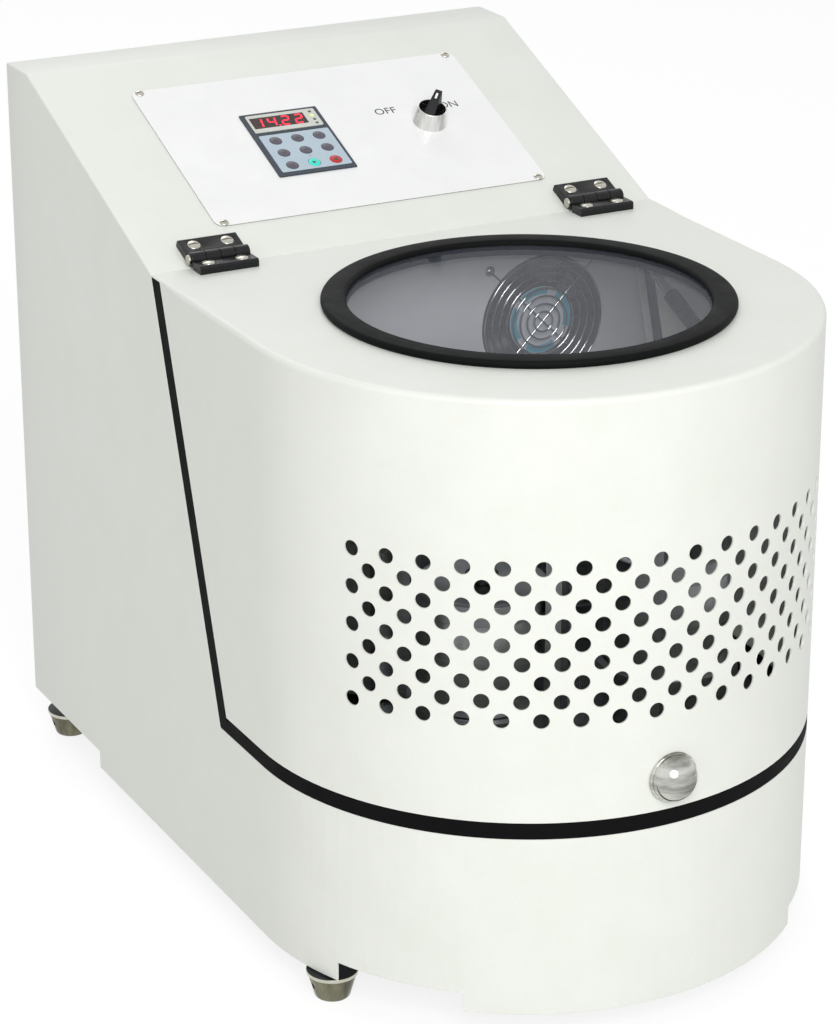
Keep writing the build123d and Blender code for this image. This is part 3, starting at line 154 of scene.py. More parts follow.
# ---- finishes
def makeFinish(name, tones, patch, rough, grain, relief, pattern="grain", metallic=0.0, centre=(0, 0, 0),
               turn=(0, 0, 0), stretch=(1, 1, 1), share=0.5, **sockets):
    # tones mix in patches of that size; grain is the fine pattern's size and relief its height, all in mm
    material = bpy.data.materials.new(name)
    material.use_nodes = True
    tree = material.node_tree
    shader = tree.nodes["Principled BSDF"]
    source = addNode(tree, "ShaderNodeTexCoord")
    place = addNode(tree, "ShaderNodeMapping", {
        "Vector": source.outputs["Object"], "Location": tuple(c * mm for c in centre),
        "Rotation": turn, "Scale": stretch}, vector_type="TEXTURE")
    spot = place.outputs["Vector"]
    patches = addNode(tree, "ShaderNodeTexNoise", {"Vector": spot, "Scale": 1000 / patch, "Detail": 4.0, "Roughness": 0.6})
    if pattern == "rings":
        fine = addNode(tree, "ShaderNodeTexWave", {
            "Vector": spot, "Scale": 314 / grain, "Distortion": 0.6, "Detail": 2.0, "Detail Scale": 2.0},
            wave_type="RINGS", rings_direction="Z").outputs["Fac"]
    elif pattern == "cells":
        fine = addNode(tree, "ShaderNodeTexVoronoi", {"Vector": spot, "Scale": 1000 / grain}).outputs["Distance"]
    elif pattern == "facets":
        cells = addNode(tree, "ShaderNodeTexVoronoi", {"Vector": spot, "Scale": 1000 / grain})
        fine = addNode(tree, "ShaderNodeSeparateColor", {0: cells.outputs["Color"]}).outputs[0]
    else:
        fine = addNode(tree, "ShaderNodeTexNoise", {"Vector": spot, "Scale": 1000 / grain, "Detail": 3.0}).outputs["Fac"]
    blend = addNode(tree, "ShaderNodeMix", {0: share, 2: patches.outputs["Fac"], 3: fine})
    ramp = addNode(tree, "ShaderNodeValToRGB", {"Fac": blend.outputs[0]})
    for element, position, tone in zip(ramp.color_ramp.elements, (0.34, 0.66), tones):
        element.position = position
        element.color = linear(tone)
    gloss = addNode(tree, "ShaderNodeMapRange", {
        "Value": fine if pattern != "grain" else patches.outputs["Fac"],
        "From Min": 0.3, "From Max": 0.7, "To Min": rough[0], "To Max": rough[1]})
    tree.links.new(ramp.outputs["Color"], shader.inputs["Base Color"])
    tree.links.new(gloss.outputs["Result"], shader.inputs["Roughness"])
    if relief:
        bump = addNode(tree, "ShaderNodeBump", {"Height": fine, "Distance": relief * mm, "Strength": 1.0})
        tree.links.new(bump.outputs["Normal"], shader.inputs["Normal"])
    shader.inputs["Metallic"].default_value = metallic
    for socket, value in sockets.items():
        shader.inputs[socket.replace("_", " ")].default_value = value
    return material


frontAxis = (0, mill["frontY"], 0)
# Powder-coated sheet steel: warm off-white, satin, with a fine orange peel (0.9 mm, drawn at 1.6)
powderCoat = makeFinish("powderCoatedSteel", ("#E2E4DC", "#E7E9E2"), 60, (0.36, 0.46), 1.6, 0.035, share=0.35)
# The same coat inside the cabinet, a shade greyer where the spray lands thin
chamberCoat = makeFinish("powderCoatedInterior", ("#E0E2E8", "#EAECF1"), 45, (0.42, 0.55), 1.8, 0.05, share=0.35)
# Screen-printed aluminium plate: cooler and whiter than the housing, smooth
plateCoat = makeFinish("printedAluminiumPlate", ("#EFEFEE", "#F4F4F3"), 40, (0.28, 0.34), 0.8, 0.006, share=0.3)
plateEdge = makeFinish("shearedPlateEdge", ("#9FA09D", "#C4C5C2"), 6, (0.35, 0.5), 0.9, 0.02, metallic=0.8)
# Hot-dip galvanised pan: zinc spangle about 12 mm across
galvanised = makeFinish("galvanisedSteel", ("#8E9496", "#B4B9BA"), 25, (0.32, 0.55), 12, 0.02, "facets", 0.9, share=0.8)
# Milled deck plate: arcs of the face mill, drawn 2 mm apart
milled = makeFinish("faceMilledSteel", ("#8B8E90", "#A9ACAD"), 40, (0.28, 0.42), 2.2, 0.02, "rings", 1.0,
                    centre=(180, -420, 0), share=0.6)
# Turned table: lathe rings about the main shaft, drawn 1.6 mm apart
turnedTable = makeFinish("turnedSteel", ("#8F9294", "#B3B6B7"), 50, (0.22, 0.38), 1.6, 0.02, "rings", 1.0,
                         centre=frontAxis, share=0.7)
gearSteel = makeFinish("hobbedGearSteel", ("#70757A", "#94999D"), 12, (0.28, 0.42), 0.9, 0.02, metallic=1.0)
groundSteel = makeFinish("groundShaftSteel", ("#A4A8AB", "#C2C5C7"), 20, (0.14, 0.26), 0.6, 0.006, metallic=1.0,
                         stretch=(1, 1, 0.2))
bearingShield = makeFinish("bearingShield", ("#6E6A5E", "#8A8678"), 8, (0.3, 0.42), 0.8, 0.01, metallic=0.9)
# Nickel-plated screws and nuts: warm grey, bright
nickelPlate = makeFinish("nickelPlatedSteel", ("#A9A79C", "#C9C7BE"), 5, (0.2, 0.34), 0.5, 0.015, metallic=1.0)
# Black oxide steel for the bolts; on the feet's tops the same finish is painted shade
blackOxideAndRecessShade = makeFinish("oxideSteelAndRecessShade", ("#1B1C1F", "#303236"), 6, (0.34, 0.5), 0.6, 0.012, metallic=0.7)
# Bright chrome on the pull: a mirror whose broad dark and light patches are painted reflections, with faint polishing
# haze
chrome = makeFinish("chromePaintedReflections", ("#4E4E46", "#D6D6D0"), 13, (0.03, 0.07), 0.8, 0.002, metallic=1.0,
                    stretch=(5, 5, 1), share=0.03)
chromeRod = makeFinish("hardChromeRod", ("#B9BDC0", "#CFD2D4"), 20, (0.08, 0.14), 0.6, 0.002, metallic=1.0)
# Dark polished feet of brown-grey steel; the upright light and dark bands are painted reflections
footSteelPaintedReflections = makeFinish("turnedFootPaintedReflections", ("#454439", "#86846F"), 16, (0.2, 0.36), 1.2, 0.012, metallic=1.0, stretch=(1, 1, 6),
                       share=0.15)
footRim = makeFinish("footRimSteel", ("#B8B7A8", "#D0CFC2"), 7, (0.14, 0.24), 0.8, 0.01, metallic=1.0)
# Moulded rubber: deep black, satin on the window profile and dull on the hood seal
glossRubber = makeFinish("mouldedRubberProfile", ("#070808", "#0F1011"), 25, (0.54, 0.66), 0.7, 0.01, Specular_IOR_Level=0.08)
sealRubber = makeFinish("closedCellSealRubber", ("#050506", "#0B0B0D"), 18, (0.7, 0.85), 0.8, 0.06, Specular_IOR_Level=0.1)
beltRubber = makeFinish("beltRubber", ("#121212", "#212020"), 14, (0.6, 0.75), 1.0, 0.05)
# Black-painted zinc casting of the hinges: semi-gloss over a faint cast grain
hingePaint = makeFinish("paintedZincCasting", ("#0A0A0B", "#131416"), 9, (0.24, 0.36), 1.1, 0.025, share=0.4,
                        Specular_IOR_Level=0.3)
# Smoke-tinted acrylic: grey with a blue cast, polished
smokedAcrylic = makeFinish("smokedAcrylic", ("#6A6F7B", "#727783"), 60, (0.03, 0.05), 2.0, 0, Alpha=0.2, IOR=1.49)
castIron = makeFinish("paintedCastIron", ("#4B5256", "#5C646A"), 12, (0.42, 0.6), 1.8, 0.12)
motorPaint = makeFinish("motorEnamel", ("#5A6A78", "#66778A"), 22, (0.3, 0.42), 1.4, 0.05)
# Stainless jars and lids: fine turned lines about their own axis
stainless = makeFinish("turnedStainless", ("#BFC2C3", "#DADCDD"), 18, (0.24, 0.38), 1.4, 0.006, metallic=1.0, stretch=(14, 14, 0.8))
holderSteel = makeFinish("machinedHolderSteel", ("#A0A4A6", "#BBBEC0"), 16, (0.3, 0.44), 1.2, 0.01, metallic=1.0, stretch=(10, 10, 0.8))
phenolic = makeFinish("mouldedPhenolic", ("#0E0E0F", "#1A1A1B"), 14, (0.18, 0.3), 1.4, 0.012)
blackPlastic = makeFinish("mouldedBlackPlastic", ("#0A0B0D", "#111316"), 16, (0.34, 0.46), 0.9, 0.03, Specular_IOR_Level=0.25)
fanPlastic = makeFinish("fanFramePlastic", ("#1F1D1B", "#2C2926"), 20, (0.4, 0.55), 1.0, 0.03)
bladePlastic = makeFinish("fanBladePlastic", ("#312C28", "#3E3833"), 20, (0.3, 0.42), 1.0, 0.02)
labelPaper = makeFinish("fanHubFilm", ("#E2E5EF", "#EDEFF6"), 8, (0.3, 0.4), 0.8, 0.004)
labelTeal = makeFinish("fanHubRingPrint", ("#3FB4D2", "#52C4DF"), 8, (0.3, 0.4), 0.8, 0.004)
guardWire = makeFinish("nickelGuardWire", ("#A7A9AA", "#C5C7C8"), 6, (0.1, 0.2), 0.5, 0.004, metallic=1.0)
anodised = makeFinish("anodisedAluminium", ("#A2A6A8", "#B6BABB"), 14, (0.28, 0.4), 0.7, 0.012, metallic=1.0)
# Bright ring of the switch: polished aluminium whose streaks run along its own axis, polishing lines with painted
# reflection bands over them
bezelPolishAndReflections = makeFinish("aluminiumRingPaintedReflections", ("#B4B4AF", "#F3F3F1"), 9, (0.14, 0.26), 0.6, 0.004, metallic=1.0,
                        turn=(slopeAngle, 0, 0), stretch=(1, 1, 9), share=0.15)
# Keypad unit: slate frame, pale blue-grey overlay, warm grey bezel, printed marks
slatePlastic = makeFinish("keypadFramePlastic", ("#202B38", "#283442"), 12, (0.34, 0.44), 0.8, 0.02)
overlayFilm = makeFinish("polyesterOverlay", ("#AFC0CC", "#B8C8D2"), 20, (0.3, 0.38), 0.9, 0.01)
bezelFilm = makeFinish("displayBezelFilm", ("#C9CBC2", "#D4D6CE"), 14, (0.26, 0.34), 0.9, 0.008)
windowFilm = makeFinish("displayWindowFilm", ("#1E0F0E", "#2A1614"), 8, (0.08, 0.14), 0.9, 0.002)
keyGrey = makeFinish("greyKeyFilm", ("#4B4854", "#595662"), 6, (0.3, 0.4), 0.8, 0.01)
keyTeal = makeFinish("turquoiseKeyFilm", ("#3BDCC6", "#48EAD4"), 6, (0.3, 0.4), 0.8, 0.01)
keyRed = makeFinish("redKeyFilm", ("#B5191A", "#C92222"), 6, (0.3, 0.4), 0.8, 0.01)
printInk = makeFinish("screenPrintInk", ("#3A3B3D", "#4C4D50"), 4, (0.4, 0.5), 0.7, 0.002)
pointerPaint = makeFinish("pointerMarkPaint", ("#E4E5E4", "#F0F0EF"), 3, (0.3, 0.4), 0.6, 0.004)
digitGlow = makeFinish("litDigitRed", ("#E0162C", "#F0223A"), 3, (0.3, 0.4), 0.6, 0, Emission_Color=linear("#FF1A38"), Emission_Strength=1.6)
digitDark = makeFinish("unlitDigitRed", ("#35110F", "#3D1513"), 3, (0.3, 0.4), 0.6, 0)
lampGreen = makeFinish("litPilotGreen", ("#C8E86A", "#D8F27E"), 2, (0.3, 0.4), 0.6, 0, Emission_Color=linear("#D6F27A"), Emission_Strength=0.5)
inletBlack = makeFinish("inletMouldedPlastic", ("#101112", "#1A1B1C"), 10, (0.4, 0.52), 0.9, 0.03)
print("finishes made")


# ---- helpers for meshes
def addPiece(name, mesh, node, materials, keep=False):
    # A finished piece in place of a CAD node, on that node's body
    piece = bpy.data.objects.new(name, mesh)
    scene.collection.objects.link(piece)
    for material in materials:
        if material.name not in [m.name for m in mesh.materials if m]:
            mesh.materials.append(material)
    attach(piece, nodeBody[node])
    if not keep:
        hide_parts(node)
    return piece


def copyNode(node):
    # The CAD node's loose triangles, joined, with flat areas as single faces
    shape = bmesh.new()
    shape.from_mesh(frame["nodes"][node].data)
    for layer in list(shape.loops.layers.uv):
        shape.loops.layers.uv.remove(layer)
    bmesh.ops.remove_doubles(shape, verts=shape.verts, dist=2e-6)
    bmesh.ops.dissolve_limit(shape, angle_limit=math.radians(0.4), verts=shape.verts, edges=shape.edges)
    return shape


def roundEdges(shape, width, segments, chosen):
    # Rounds the chosen edges and gives the vertices that this made
    edges = [e for e in shape.edges if len(e.link_faces) == 2 and chosen(e)]
    return bmesh.ops.bevel(shape, geom=edges, offset=width * mm, segments=segments, profile=0.5, affect="EDGES",
                           clamp_overlap=False)["verts"]


def finishMesh(shape, name, angle=32):
    mesh = bpy.data.meshes.new(name)
    shape.to_mesh(mesh)
    shape.free()
    mesh.polygons.foreach_set("use_smooth", [True] * len(mesh.polygons))
    mesh.set_sharp_from_angle(angle=math.radians(angle))
    return mesh


def paintFaces(mesh, choose):
    # choose gives a face's material number from its centre and normal, in mm
    for face in mesh.polygons:
        face.material_index = choose(face.center / mm, face.normal)


def dressNode(node, material, edge=0.5, rounds=(), choose=None, angle=35, segments=2, reshape=None):
    # The node's own shape with rounded edges: rounds lists (width, segments, test) for chosen ones
    shape = copyNode(node)
    if reshape:
        reshape(shape)
    for width, steps, test in rounds:
        roundEdges(shape, width, steps, test)
    materials = material if isinstance(material, list) else [material]
    mesh = finishMesh(shape, node + "Mesh")
    for item in materials:
        mesh.materials.append(item)
    if choose:
        paintFaces(mesh, choose)
    piece = addPiece(node + "_dressed", mesh, node, [])
    if edge:
        soften = piece.modifiers.new("soften", "BEVEL")
        soften.width = edge * mm
        soften.segments = segments
        soften.limit_method = "ANGLE"
        soften.angle_limit = math.radians(angle)
        soften.use_clamp_overlap = False
        soften.harden_normals = True
    return piece


def latheShape(profile, steps=64, closed=False):
    # A half section in (radius, height) mm, turned about Z
    shape = bmesh.new()
    rings = []
    for radius, height in profile:
        if radius < 1e-6:
            rings.append([shape.verts.new((0, 0, height * mm))])
            continue
        rings.append([
            shape.verts.new((radius * mm * math.cos(a), radius * mm * math.sin(a), height * mm))
            for a in [2 * math.pi * i / steps for i in range(steps)]
        ])
    pairs = list(zip(rings, rings[1:]))
    if closed:
        pairs.append((rings[-1], rings[0]))
    for low, high in pairs:
        for i in range(steps):
            j = (i + 1) % steps
            corners = [low[i % len(low)], low[j % len(low)], high[j % len(high)], high[i % len(high)]]
            unique = list(dict.fromkeys(corners))
            if len(unique) > 2:
                shape.faces.new(unique)
    bmesh.ops.recalc_face_normals(shape, faces=shape.faces)
    return shape


def arc(centre, radius, start, end, steps):
    # Points of an arc in a section, angles in degrees
    return [
        (centre[0] + radius * math.cos(math.radians(a)), centre[1] + radius * math.sin(math.radians(a)))
        for a in [start + (end - start) * i / steps for i in range(steps + 1)]
    ]


def moveShape(shape, matrix):
    bmesh.ops.transform(shape, matrix=matrix, verts=shape.verts)
    if matrix.determinant() < 0:
        bmesh.ops.reverse_faces(shape, faces=shape.faces)
    return shape


def joinShapes(shapes):
    # Several bmesh shapes as one
    whole = bmesh.new()
    for item in shapes:
        mesh = bpy.data.meshes.new("join")
        item.to_mesh(mesh)
        item.free()
        whole.from_mesh(mesh)
        bpy.data.meshes.remove(mesh)
    return whole


def prismShape(outline, low, high):
    # A flat outline in mm raised from low to high
    shape = bmesh.new()
    base = [shape.verts.new((x * mm, y * mm, low * mm)) for x, y in outline]
    face = shape.faces.new(base)
    raised = bmesh.ops.extrude_face_region(shape, geom=[face])
    top = [v for v in raised["geom"] if isinstance(v, bmesh.types.BMVert)]
    bmesh.ops.translate(shape, verts=top, vec=(0, 0, (high - low) * mm))
    bmesh.ops.recalc_face_normals(shape, faces=shape.faces)
    return shape


def textShape(words, height, x, s, lift, thickness, frameMatrix):
    # Printed words as a thin mesh, letters of that height in mm
    curve = bpy.data.curves.new("words", "FONT")
    curve.body = words
    curve.size = height / 0.72 * mm
    curve.align_x = "CENTER"
    curve.align_y = "CENTER"
    curve.extrude = thickness / 2 * mm
    curve.resolution_u = 4
    holder = bpy.data.objects.new("words", curve)
    scene.collection.objects.link(holder)
    mesh = bpy.data.meshes.new_from_object(holder.evaluated_get(bpy.context.evaluated_depsgraph_get()))
    shape = bmesh.new()
    shape.from_mesh(mesh)
    bpy.data.objects.remove(holder)
    bpy.data.meshes.remove(mesh)
    return moveShape(shape, frameMatrix @ Matrix.Translation((x * mm, s * mm, (lift + thickness / 2) * mm)))


# ---- geometry trees
def openGrowth(name, sizes):
    # A geometry tree with named inputs; sizes gives each input's kind by its value
    tree = bpy.data.node_groups.new(name, "GeometryNodeTree")
    tree.interface.new_socket("Geometry", in_out="OUTPUT", socket_type="NodeSocketGeometry")
    tree.interface.new_socket("Places", in_out="INPUT", socket_type="NodeSocketGeometry")
    for label, value in sizes.items():
        kind = "NodeSocketInt" if isinstance(value, int) else "NodeSocketFloat"
        tree.interface.new_socket(label, in_out="INPUT", socket_type=kind)
    tree.interface.new_socket("Finish", in_out="INPUT", socket_type="NodeSocketMaterial")
    return tree, addNode(tree, "NodeGroupInput")


def closeGrowth(tree, start, geometry):
    real = addNode(tree, "GeometryNodeRealizeInstances", {"Geometry": geometry})
    painted = addNode(tree, "GeometryNodeSetMaterial", {"Geometry": real.outputs[0], "Material": start.outputs["Finish"]})
    addNode(tree, "NodeGroupOutput", {"Geometry": painted.outputs[0]})


def grow(tree, sizes, finish, places=None):
    # The tree's result as a plain mesh
    base = bpy.data.meshes.new("places")
    base.from_pydata([Vector(p) for p, _ in places or []], [], [])
    if places:
        aim = base.attributes.new("aim", "FLOAT_VECTOR", "POINT")
        for item, (_, direction) in zip(aim.data, places):
            item.vector = direction
    holder = bpy.data.objects.new("growing", base)
    scene.collection.objects.link(holder)
    growth = holder.modifiers.new("growth", "NODES")
    growth.node_group = tree
    values = {**sizes, "Finish": finish}
    for item in tree.interface.items_tree:
        if item.in_out == "INPUT" and item.name in values:
            growth[item.identifier] = values[item.name]
    bpy.context.view_layer.update()
    mesh = bpy.data.meshes.new_from_object(holder.evaluated_get(bpy.context.evaluated_depsgraph_get()))
    bpy.data.objects.remove(holder)
    mesh.polygons.foreach_set("use_smooth", [True] * len(mesh.polygons))
    mesh.set_sharp_from_angle(angle=math.radians(35))
    return mesh


screwSizes = {"Head Radius": 0.004, "Head Rise": 0.0018, "Shank Radius": 0.0015, "Shank Length": 0.007,
              "Slot Width": 0.0012, "Slot Depth": 0.001, "Sides": 32}


def makeScrewTree():
    # Domed heads with a driver slot, one on each place, facing its aim
    tree, start = openGrowth("screwHeads", screwSizes)
    size = start.outputs
    ball = addNode(tree, "GeometryNodeMeshUVSphere", {"Segments": size["Sides"], "Rings": 16, "Radius": 1.0})
    wide = addNode(tree, "ShaderNodeCombineXYZ", {0: size["Head Radius"], 1: size["Head Radius"], 2: size["Head Rise"]})
    dome = addNode(tree, "GeometryNodeTransform", {"Geometry": ball.outputs[0], "Scale": wide.outputs[0]})
    shank = addNode(tree, "GeometryNodeMeshCylinder", {"Vertices": 16, "Radius": size["Shank Radius"], "Depth": size["Shank Length"]})
    half = addNode(tree, "ShaderNodeMath", {0: size["Shank Length"], 1: -0.5}, operation="MULTIPLY")
    drop = addNode(tree, "ShaderNodeCombineXYZ", {2: half.outputs[0]})
    lowered = addNode(tree, "GeometryNodeTransform", {"Geometry": shank.outputs[0], "Translation": drop.outputs[0]})
    # The lower half of the dome is cut off level with the plate, but for the shank
    under = addNode(tree, "GeometryNodeMeshCube", {"Size": (0.04, 0.04, 0.04)})
    underPlace = addNode(tree, "GeometryNodeTransform", {"Geometry": under.outputs[0], "Translation": (0, 0, -0.02)})
    slotSize = addNode(tree, "ShaderNodeCombineXYZ", {0: 0.04, 1: size["Slot Width"], 2: size["Slot Depth"]})
    slot = addNode(tree, "GeometryNodeMeshCube", {"Size": slotSize.outputs[0]})
    halfSlot = addNode(tree, "ShaderNodeMath", {0: size["Slot Depth"], 1: 0.5, 2: 0.0}, operation="MULTIPLY")
    slotHeight = addNode(tree, "ShaderNodeMath", {0: size["Head Rise"], 1: halfSlot.outputs[0]}, operation="SUBTRACT")
    slotUp = addNode(tree, "ShaderNodeCombineXYZ", {2: slotHeight.outputs[0]})
    slotPlace = addNode(tree, "GeometryNodeTransform", {"Geometry": slot.outputs[0], "Translation": slotUp.outputs[0]})
    cut = addNode(tree, "GeometryNodeMeshBoolean", {
        "Mesh 1": dome.outputs[0], "Mesh 2": [underPlace.outputs[0], slotPlace.outputs[0]]}, operation="DIFFERENCE")
    screw = addNode(tree, "GeometryNodeJoinGeometry", {"Geometry": [cut.outputs[0], lowered.outputs[0]]})
    aim = addNode(tree, "GeometryNodeInputNamedAttribute", {"Name": "aim"}, data_type="FLOAT_VECTOR")
    facing = addNode(tree, "FunctionNodeAlignRotationToVector", {"Vector": aim.outputs[0]}, axis="Z")
    placed = addNode(tree, "GeometryNodeInstanceOnPoints", {
        "Points": start.outputs["Places"], "Instance": screw.outputs[0], "Rotation": facing.outputs[0]})
    closeGrowth(tree, start, placed.outputs[0])
    return tree


guardSizes = {"Rings": 8, "First Radius": 0.009, "Ring Pitch": 0.0069, "Wire Radius": 0.00085, "Arm Reach": 0.0701,
              "Loop Radius": 0.00365}


def makeGuardTree():
    # Wire rings in one plane, two crossed wires under them, and loops at the wires' ends; made about Z
    tree, start = openGrowth("wireGuard", guardSizes)
    size = start.outputs
    row = addNode(tree, "GeometryNodeMeshLine", {"Count": size["Rings"], "Offset": (0, 0, 0)})
    index = addNode(tree, "GeometryNodeInputIndex")
    grown = addNode(tree, "ShaderNodeMath", {0: index.outputs[0], 1: size["Ring Pitch"], 2: size["First Radius"]}, operation="MULTIPLY_ADD")
    circle = addNode(tree, "GeometryNodeCurvePrimitiveCircle", {"Resolution": 72, "Radius": 1.0})
    rings = addNode(tree, "GeometryNodeInstanceOnPoints", {"Points": row.outputs[0], "Instance": circle.outputs[0], "Scale": grown.outputs[0]})
    realRings = addNode(tree, "GeometryNodeRealizeInstances", {"Geometry": rings.outputs[0]})
    negative = addNode(tree, "ShaderNodeMath", {0: size["Arm Reach"], 1: -1.0}, operation="MULTIPLY")
    depth = addNode(tree, "ShaderNodeMath", {0: size["Wire Radius"], 1: -1.5}, operation="MULTIPLY")
    lines = []
    for angle in (45, 135):
        c, s = math.cos(math.radians(angle)), math.sin(math.radians(angle))
        ends = []
        for along in (size["Arm Reach"], negative.outputs[0]):
            x = addNode(tree, "ShaderNodeMath", {0: along, 1: c}, operation="MULTIPLY")
            y = addNode(tree, "ShaderNodeMath", {0: along, 1: s}, operation="MULTIPLY")
            ends.append(addNode(tree, "ShaderNodeCombineXYZ", {0: x.outputs[0], 1: y.outputs[0], 2: depth.outputs[0]}).outputs[0])
        lines.append(addNode(tree, "GeometryNodeCurvePrimitiveLine", {"Start": ends[0], "End": ends[1]}).outputs[0])
    tips = addNode(tree, "GeometryNodeMeshCircle", {"Vertices": 4, "Radius": 0.0742})
    turned = addNode(tree, "GeometryNodeTransform", {"Geometry": tips.outputs[0], "Rotation": (0, 0, math.radians(45))})
    loop = addNode(tree, "GeometryNodeCurvePrimitiveCircle", {"Resolution": 24, "Radius": size["Loop Radius"]})
    loops = addNode(tree, "GeometryNodeInstanceOnPoints", {"Points": turned.outputs[0], "Instance": loop.outputs[0]})
    loopsDown = addNode(tree, "ShaderNodeCombineXYZ", {2: depth.outputs[0]})
    realLoops = addNode(tree, "GeometryNodeRealizeInstances", {"Geometry": loops.outputs[0]})
    loopPlace = addNode(tree, "GeometryNodeTransform", {"Geometry": realLoops.outputs[0], "Translation": loopsDown.outputs[0]})
    wires = addNode(tree, "GeometryNodeJoinGeometry", {"Geometry": [realRings.outputs[0], *lines, loopPlace.outputs[0]]})
    section = addNode(tree, "GeometryNodeCurvePrimitiveCircle", {"Resolution": 10, "Radius": size["Wire Radius"]})
    tube = addNode(tree, "GeometryNodeCurveToMesh", {"Curve": wires.outputs[0], "Profile Curve": section.outputs[0], "Fill Caps": True})
    closeGrowth(tree, start, tube.outputs[0])
    return tree


def makeRoundTree(name):
    # A shape repeated about Z: Count copies on a circle, turned with it
    tree = bpy.data.node_groups.new(name, "GeometryNodeTree")
    tree.interface.new_socket("Geometry", in_out="OUTPUT", socket_type="NodeSocketGeometry")
    tree.interface.new_socket("Places", in_out="INPUT", socket_type="NodeSocketGeometry")
    tree.interface.new_socket("Count", in_out="INPUT", socket_type="NodeSocketInt")
    tree.interface.new_socket("Start Angle", in_out="INPUT", socket_type="NodeSocketFloat")
    tree.interface.new_socket("Finish", in_out="INPUT", socket_type="NodeSocketMaterial")
    start = addNode(tree, "NodeGroupInput")
    row = addNode(tree, "GeometryNodeMeshLine", {"Count": start.outputs["Count"], "Offset": (0, 0, 0)})
    index = addNode(tree, "GeometryNodeInputIndex")
    share = addNode(tree, "ShaderNodeMath", {0: 2 * math.pi, 1: start.outputs["Count"]}, operation="DIVIDE")
    angle = addNode(tree, "ShaderNodeMath", {0: index.outputs[0], 1: share.outputs[0], 2: start.outputs["Start Angle"]}, operation="MULTIPLY_ADD")
    turn = addNode(tree, "ShaderNodeCombineXYZ", {2: angle.outputs[0]})
    euler = addNode(tree, "FunctionNodeEulerToRotation", {0: turn.outputs[0]})
    placed = addNode(tree, "GeometryNodeInstanceOnPoints", {
        "Points": row.outputs[0], "Instance": start.outputs["Places"], "Rotation": euler.outputs[0]})
    closeGrowth(tree, start, placed.outputs[0])
    return tree


def growAround(shape, count, finish, startAngle=0.0):
    # Copies of a bmesh shape about Z, as a new bmesh
    mesh = bpy.data.meshes.new("one")
    shape.to_mesh(mesh)
    shape.free()
    holder = bpy.data.objects.new("growing", mesh)
    scene.collection.objects.link(holder)
    growth = holder.modifiers.new("growth", "NODES")
    growth.node_group = roundTree
    values = {"Count": count, "Start Angle": startAngle, "Finish": finish}
    for item in roundTree.interface.items_tree:
        if item.in_out == "INPUT" and item.name in values:
            growth[item.identifier] = values[item.name]
    bpy.context.view_layer.update()
    grown = bpy.data.meshes.new_from_object(holder.evaluated_get(bpy.context.evaluated_depsgraph_get()))
    bpy.data.objects.remove(holder)
    result = bmesh.new()
    result.from_mesh(grown)
    bpy.data.meshes.remove(grown)
    return result


screwTree = makeScrewTree()
guardTree = makeGuardTree()
roundTree = makeRoundTree("roundArray")
print("geometry trees made")


# ---- housing and hood
def onTopRim(edge, height, reachLow):
    # An edge of the level top's outer outline
    for v in edge.verts:
        p = v.co / mm
        if abs(p.z - height) > 0.05:
            return False
        side = abs(p.x) if p.y > mill["frontY"] else math.hypot(p.x, p.y - mill["frontY"])
        if side < reachLow:
            return False
    return True


def isHoodRim(edge):
    a, b = (v.co / mm for v in edge.verts)
    return abs(a.x - b.x) < mill["frontRadius"] and onTopRim(edge, mill["hoodTop"], mill["frontRadius"] - 0.4)


def isHousingEdge(edge):
    # Long outer folds of the housing: top, slope and rear outline
    a, b = (v.co / mm for v in edge.verts)
    outerX = abs(a.x) > 234.6 and abs(b.x) > 234.6
    acrossTop = abs(a.z - b.z) < 0.05 and a.z > 530 and abs(a.x - b.x) > 60 and (b - a).length > 60
    upright = abs(a.x) > 234.6 and abs(b.x) > 234.6 and min(a.y, b.y) > 371
    alongTop = outerX and min(a.z, b.z) > 531 and edge.calc_face_angle(0) > 0.6
    return (acrossTop and edge.calc_face_angle(0) > 0.2) or upright or alongTop


shell = {"foldRadius": 1.6, "hoodRadius": 4.5, "rimCuts": 23, "easeReach": 44.0, "easeShare": 0.33,
         "edge": 0.35, "sharp": 35, "hoodSheet": 2.0, "near": 0.08, "broad": 2.0,
         "sealInset": 3.0, "sealFace": 0.1}


def isSharp(edge):
    return edge.calc_face_angle(0) > math.radians(shell["sharp"])


def roundRim(shape):
    # The rim's rounding narrows toward the hinge, where the top runs on alone as a thin sheet
    sides = [e for e in shape.edges if isHoodRim(e) and e.calc_length() > mill["hingeY"] * mm]
    bmesh.ops.bisect_edges(shape, edges=sides, cuts=shell["rimCuts"])
    for v in roundEdges(shape, shell["hoodRadius"], 6, isHoodRim):
        along = min(max(v.co.y / mm / shell["easeReach"], 0), 1)
        share = 1 - (1 - shell["easeShare"]) * along ** 2 * (3 - 2 * along)
        corner = Vector((math.copysign(mill["frontRadius"], v.co.x), 0, mill["hoodTop"])) * mm
        v.co.x = corner.x + (v.co.x - corner.x) * share
        v.co.z = corner.z + (v.co.z - corner.z) * share


def wallNormal(face, vert):
    # A true cylinder's normal on the half-round wall, a broad flat face's own, none for narrow ones
    p = vert.co / mm
    out = Vector((p.x, p.y - mill["frontY"], 0))
    if out.y < 0.01:
        depth = mill["frontRadius"] - out.length
        facing = face.normal.dot(out.normalized())
        if abs(depth) < shell["near"] and facing > 0.9:
            return out.normalized()
        if abs(depth - shell["hoodSheet"]) < shell["near"] and facing < -0.9:
            return -out.normalized()
    width = 2 * face.calc_area() / face.calc_perimeter() / mm
    return face.normal.copy() if width > shell["broad"] else Vector()


def smoothWalls(mesh):
    # Each corner takes the normal of the largest face round it that looks the same way
    shape = bmesh.new()
    shape.from_mesh(mesh)
    normals = []
    for face in shape.faces:
        for corner in face.loops:
            alike = [f for f in corner.vert.link_faces if f.normal.dot(face.normal) > 0.5]
            normals.append(wallNormal(max(alike, key=lambda f: f.calc_area()), corner.vert))
    shape.free()
    mesh.normals_split_custom_set(normals)


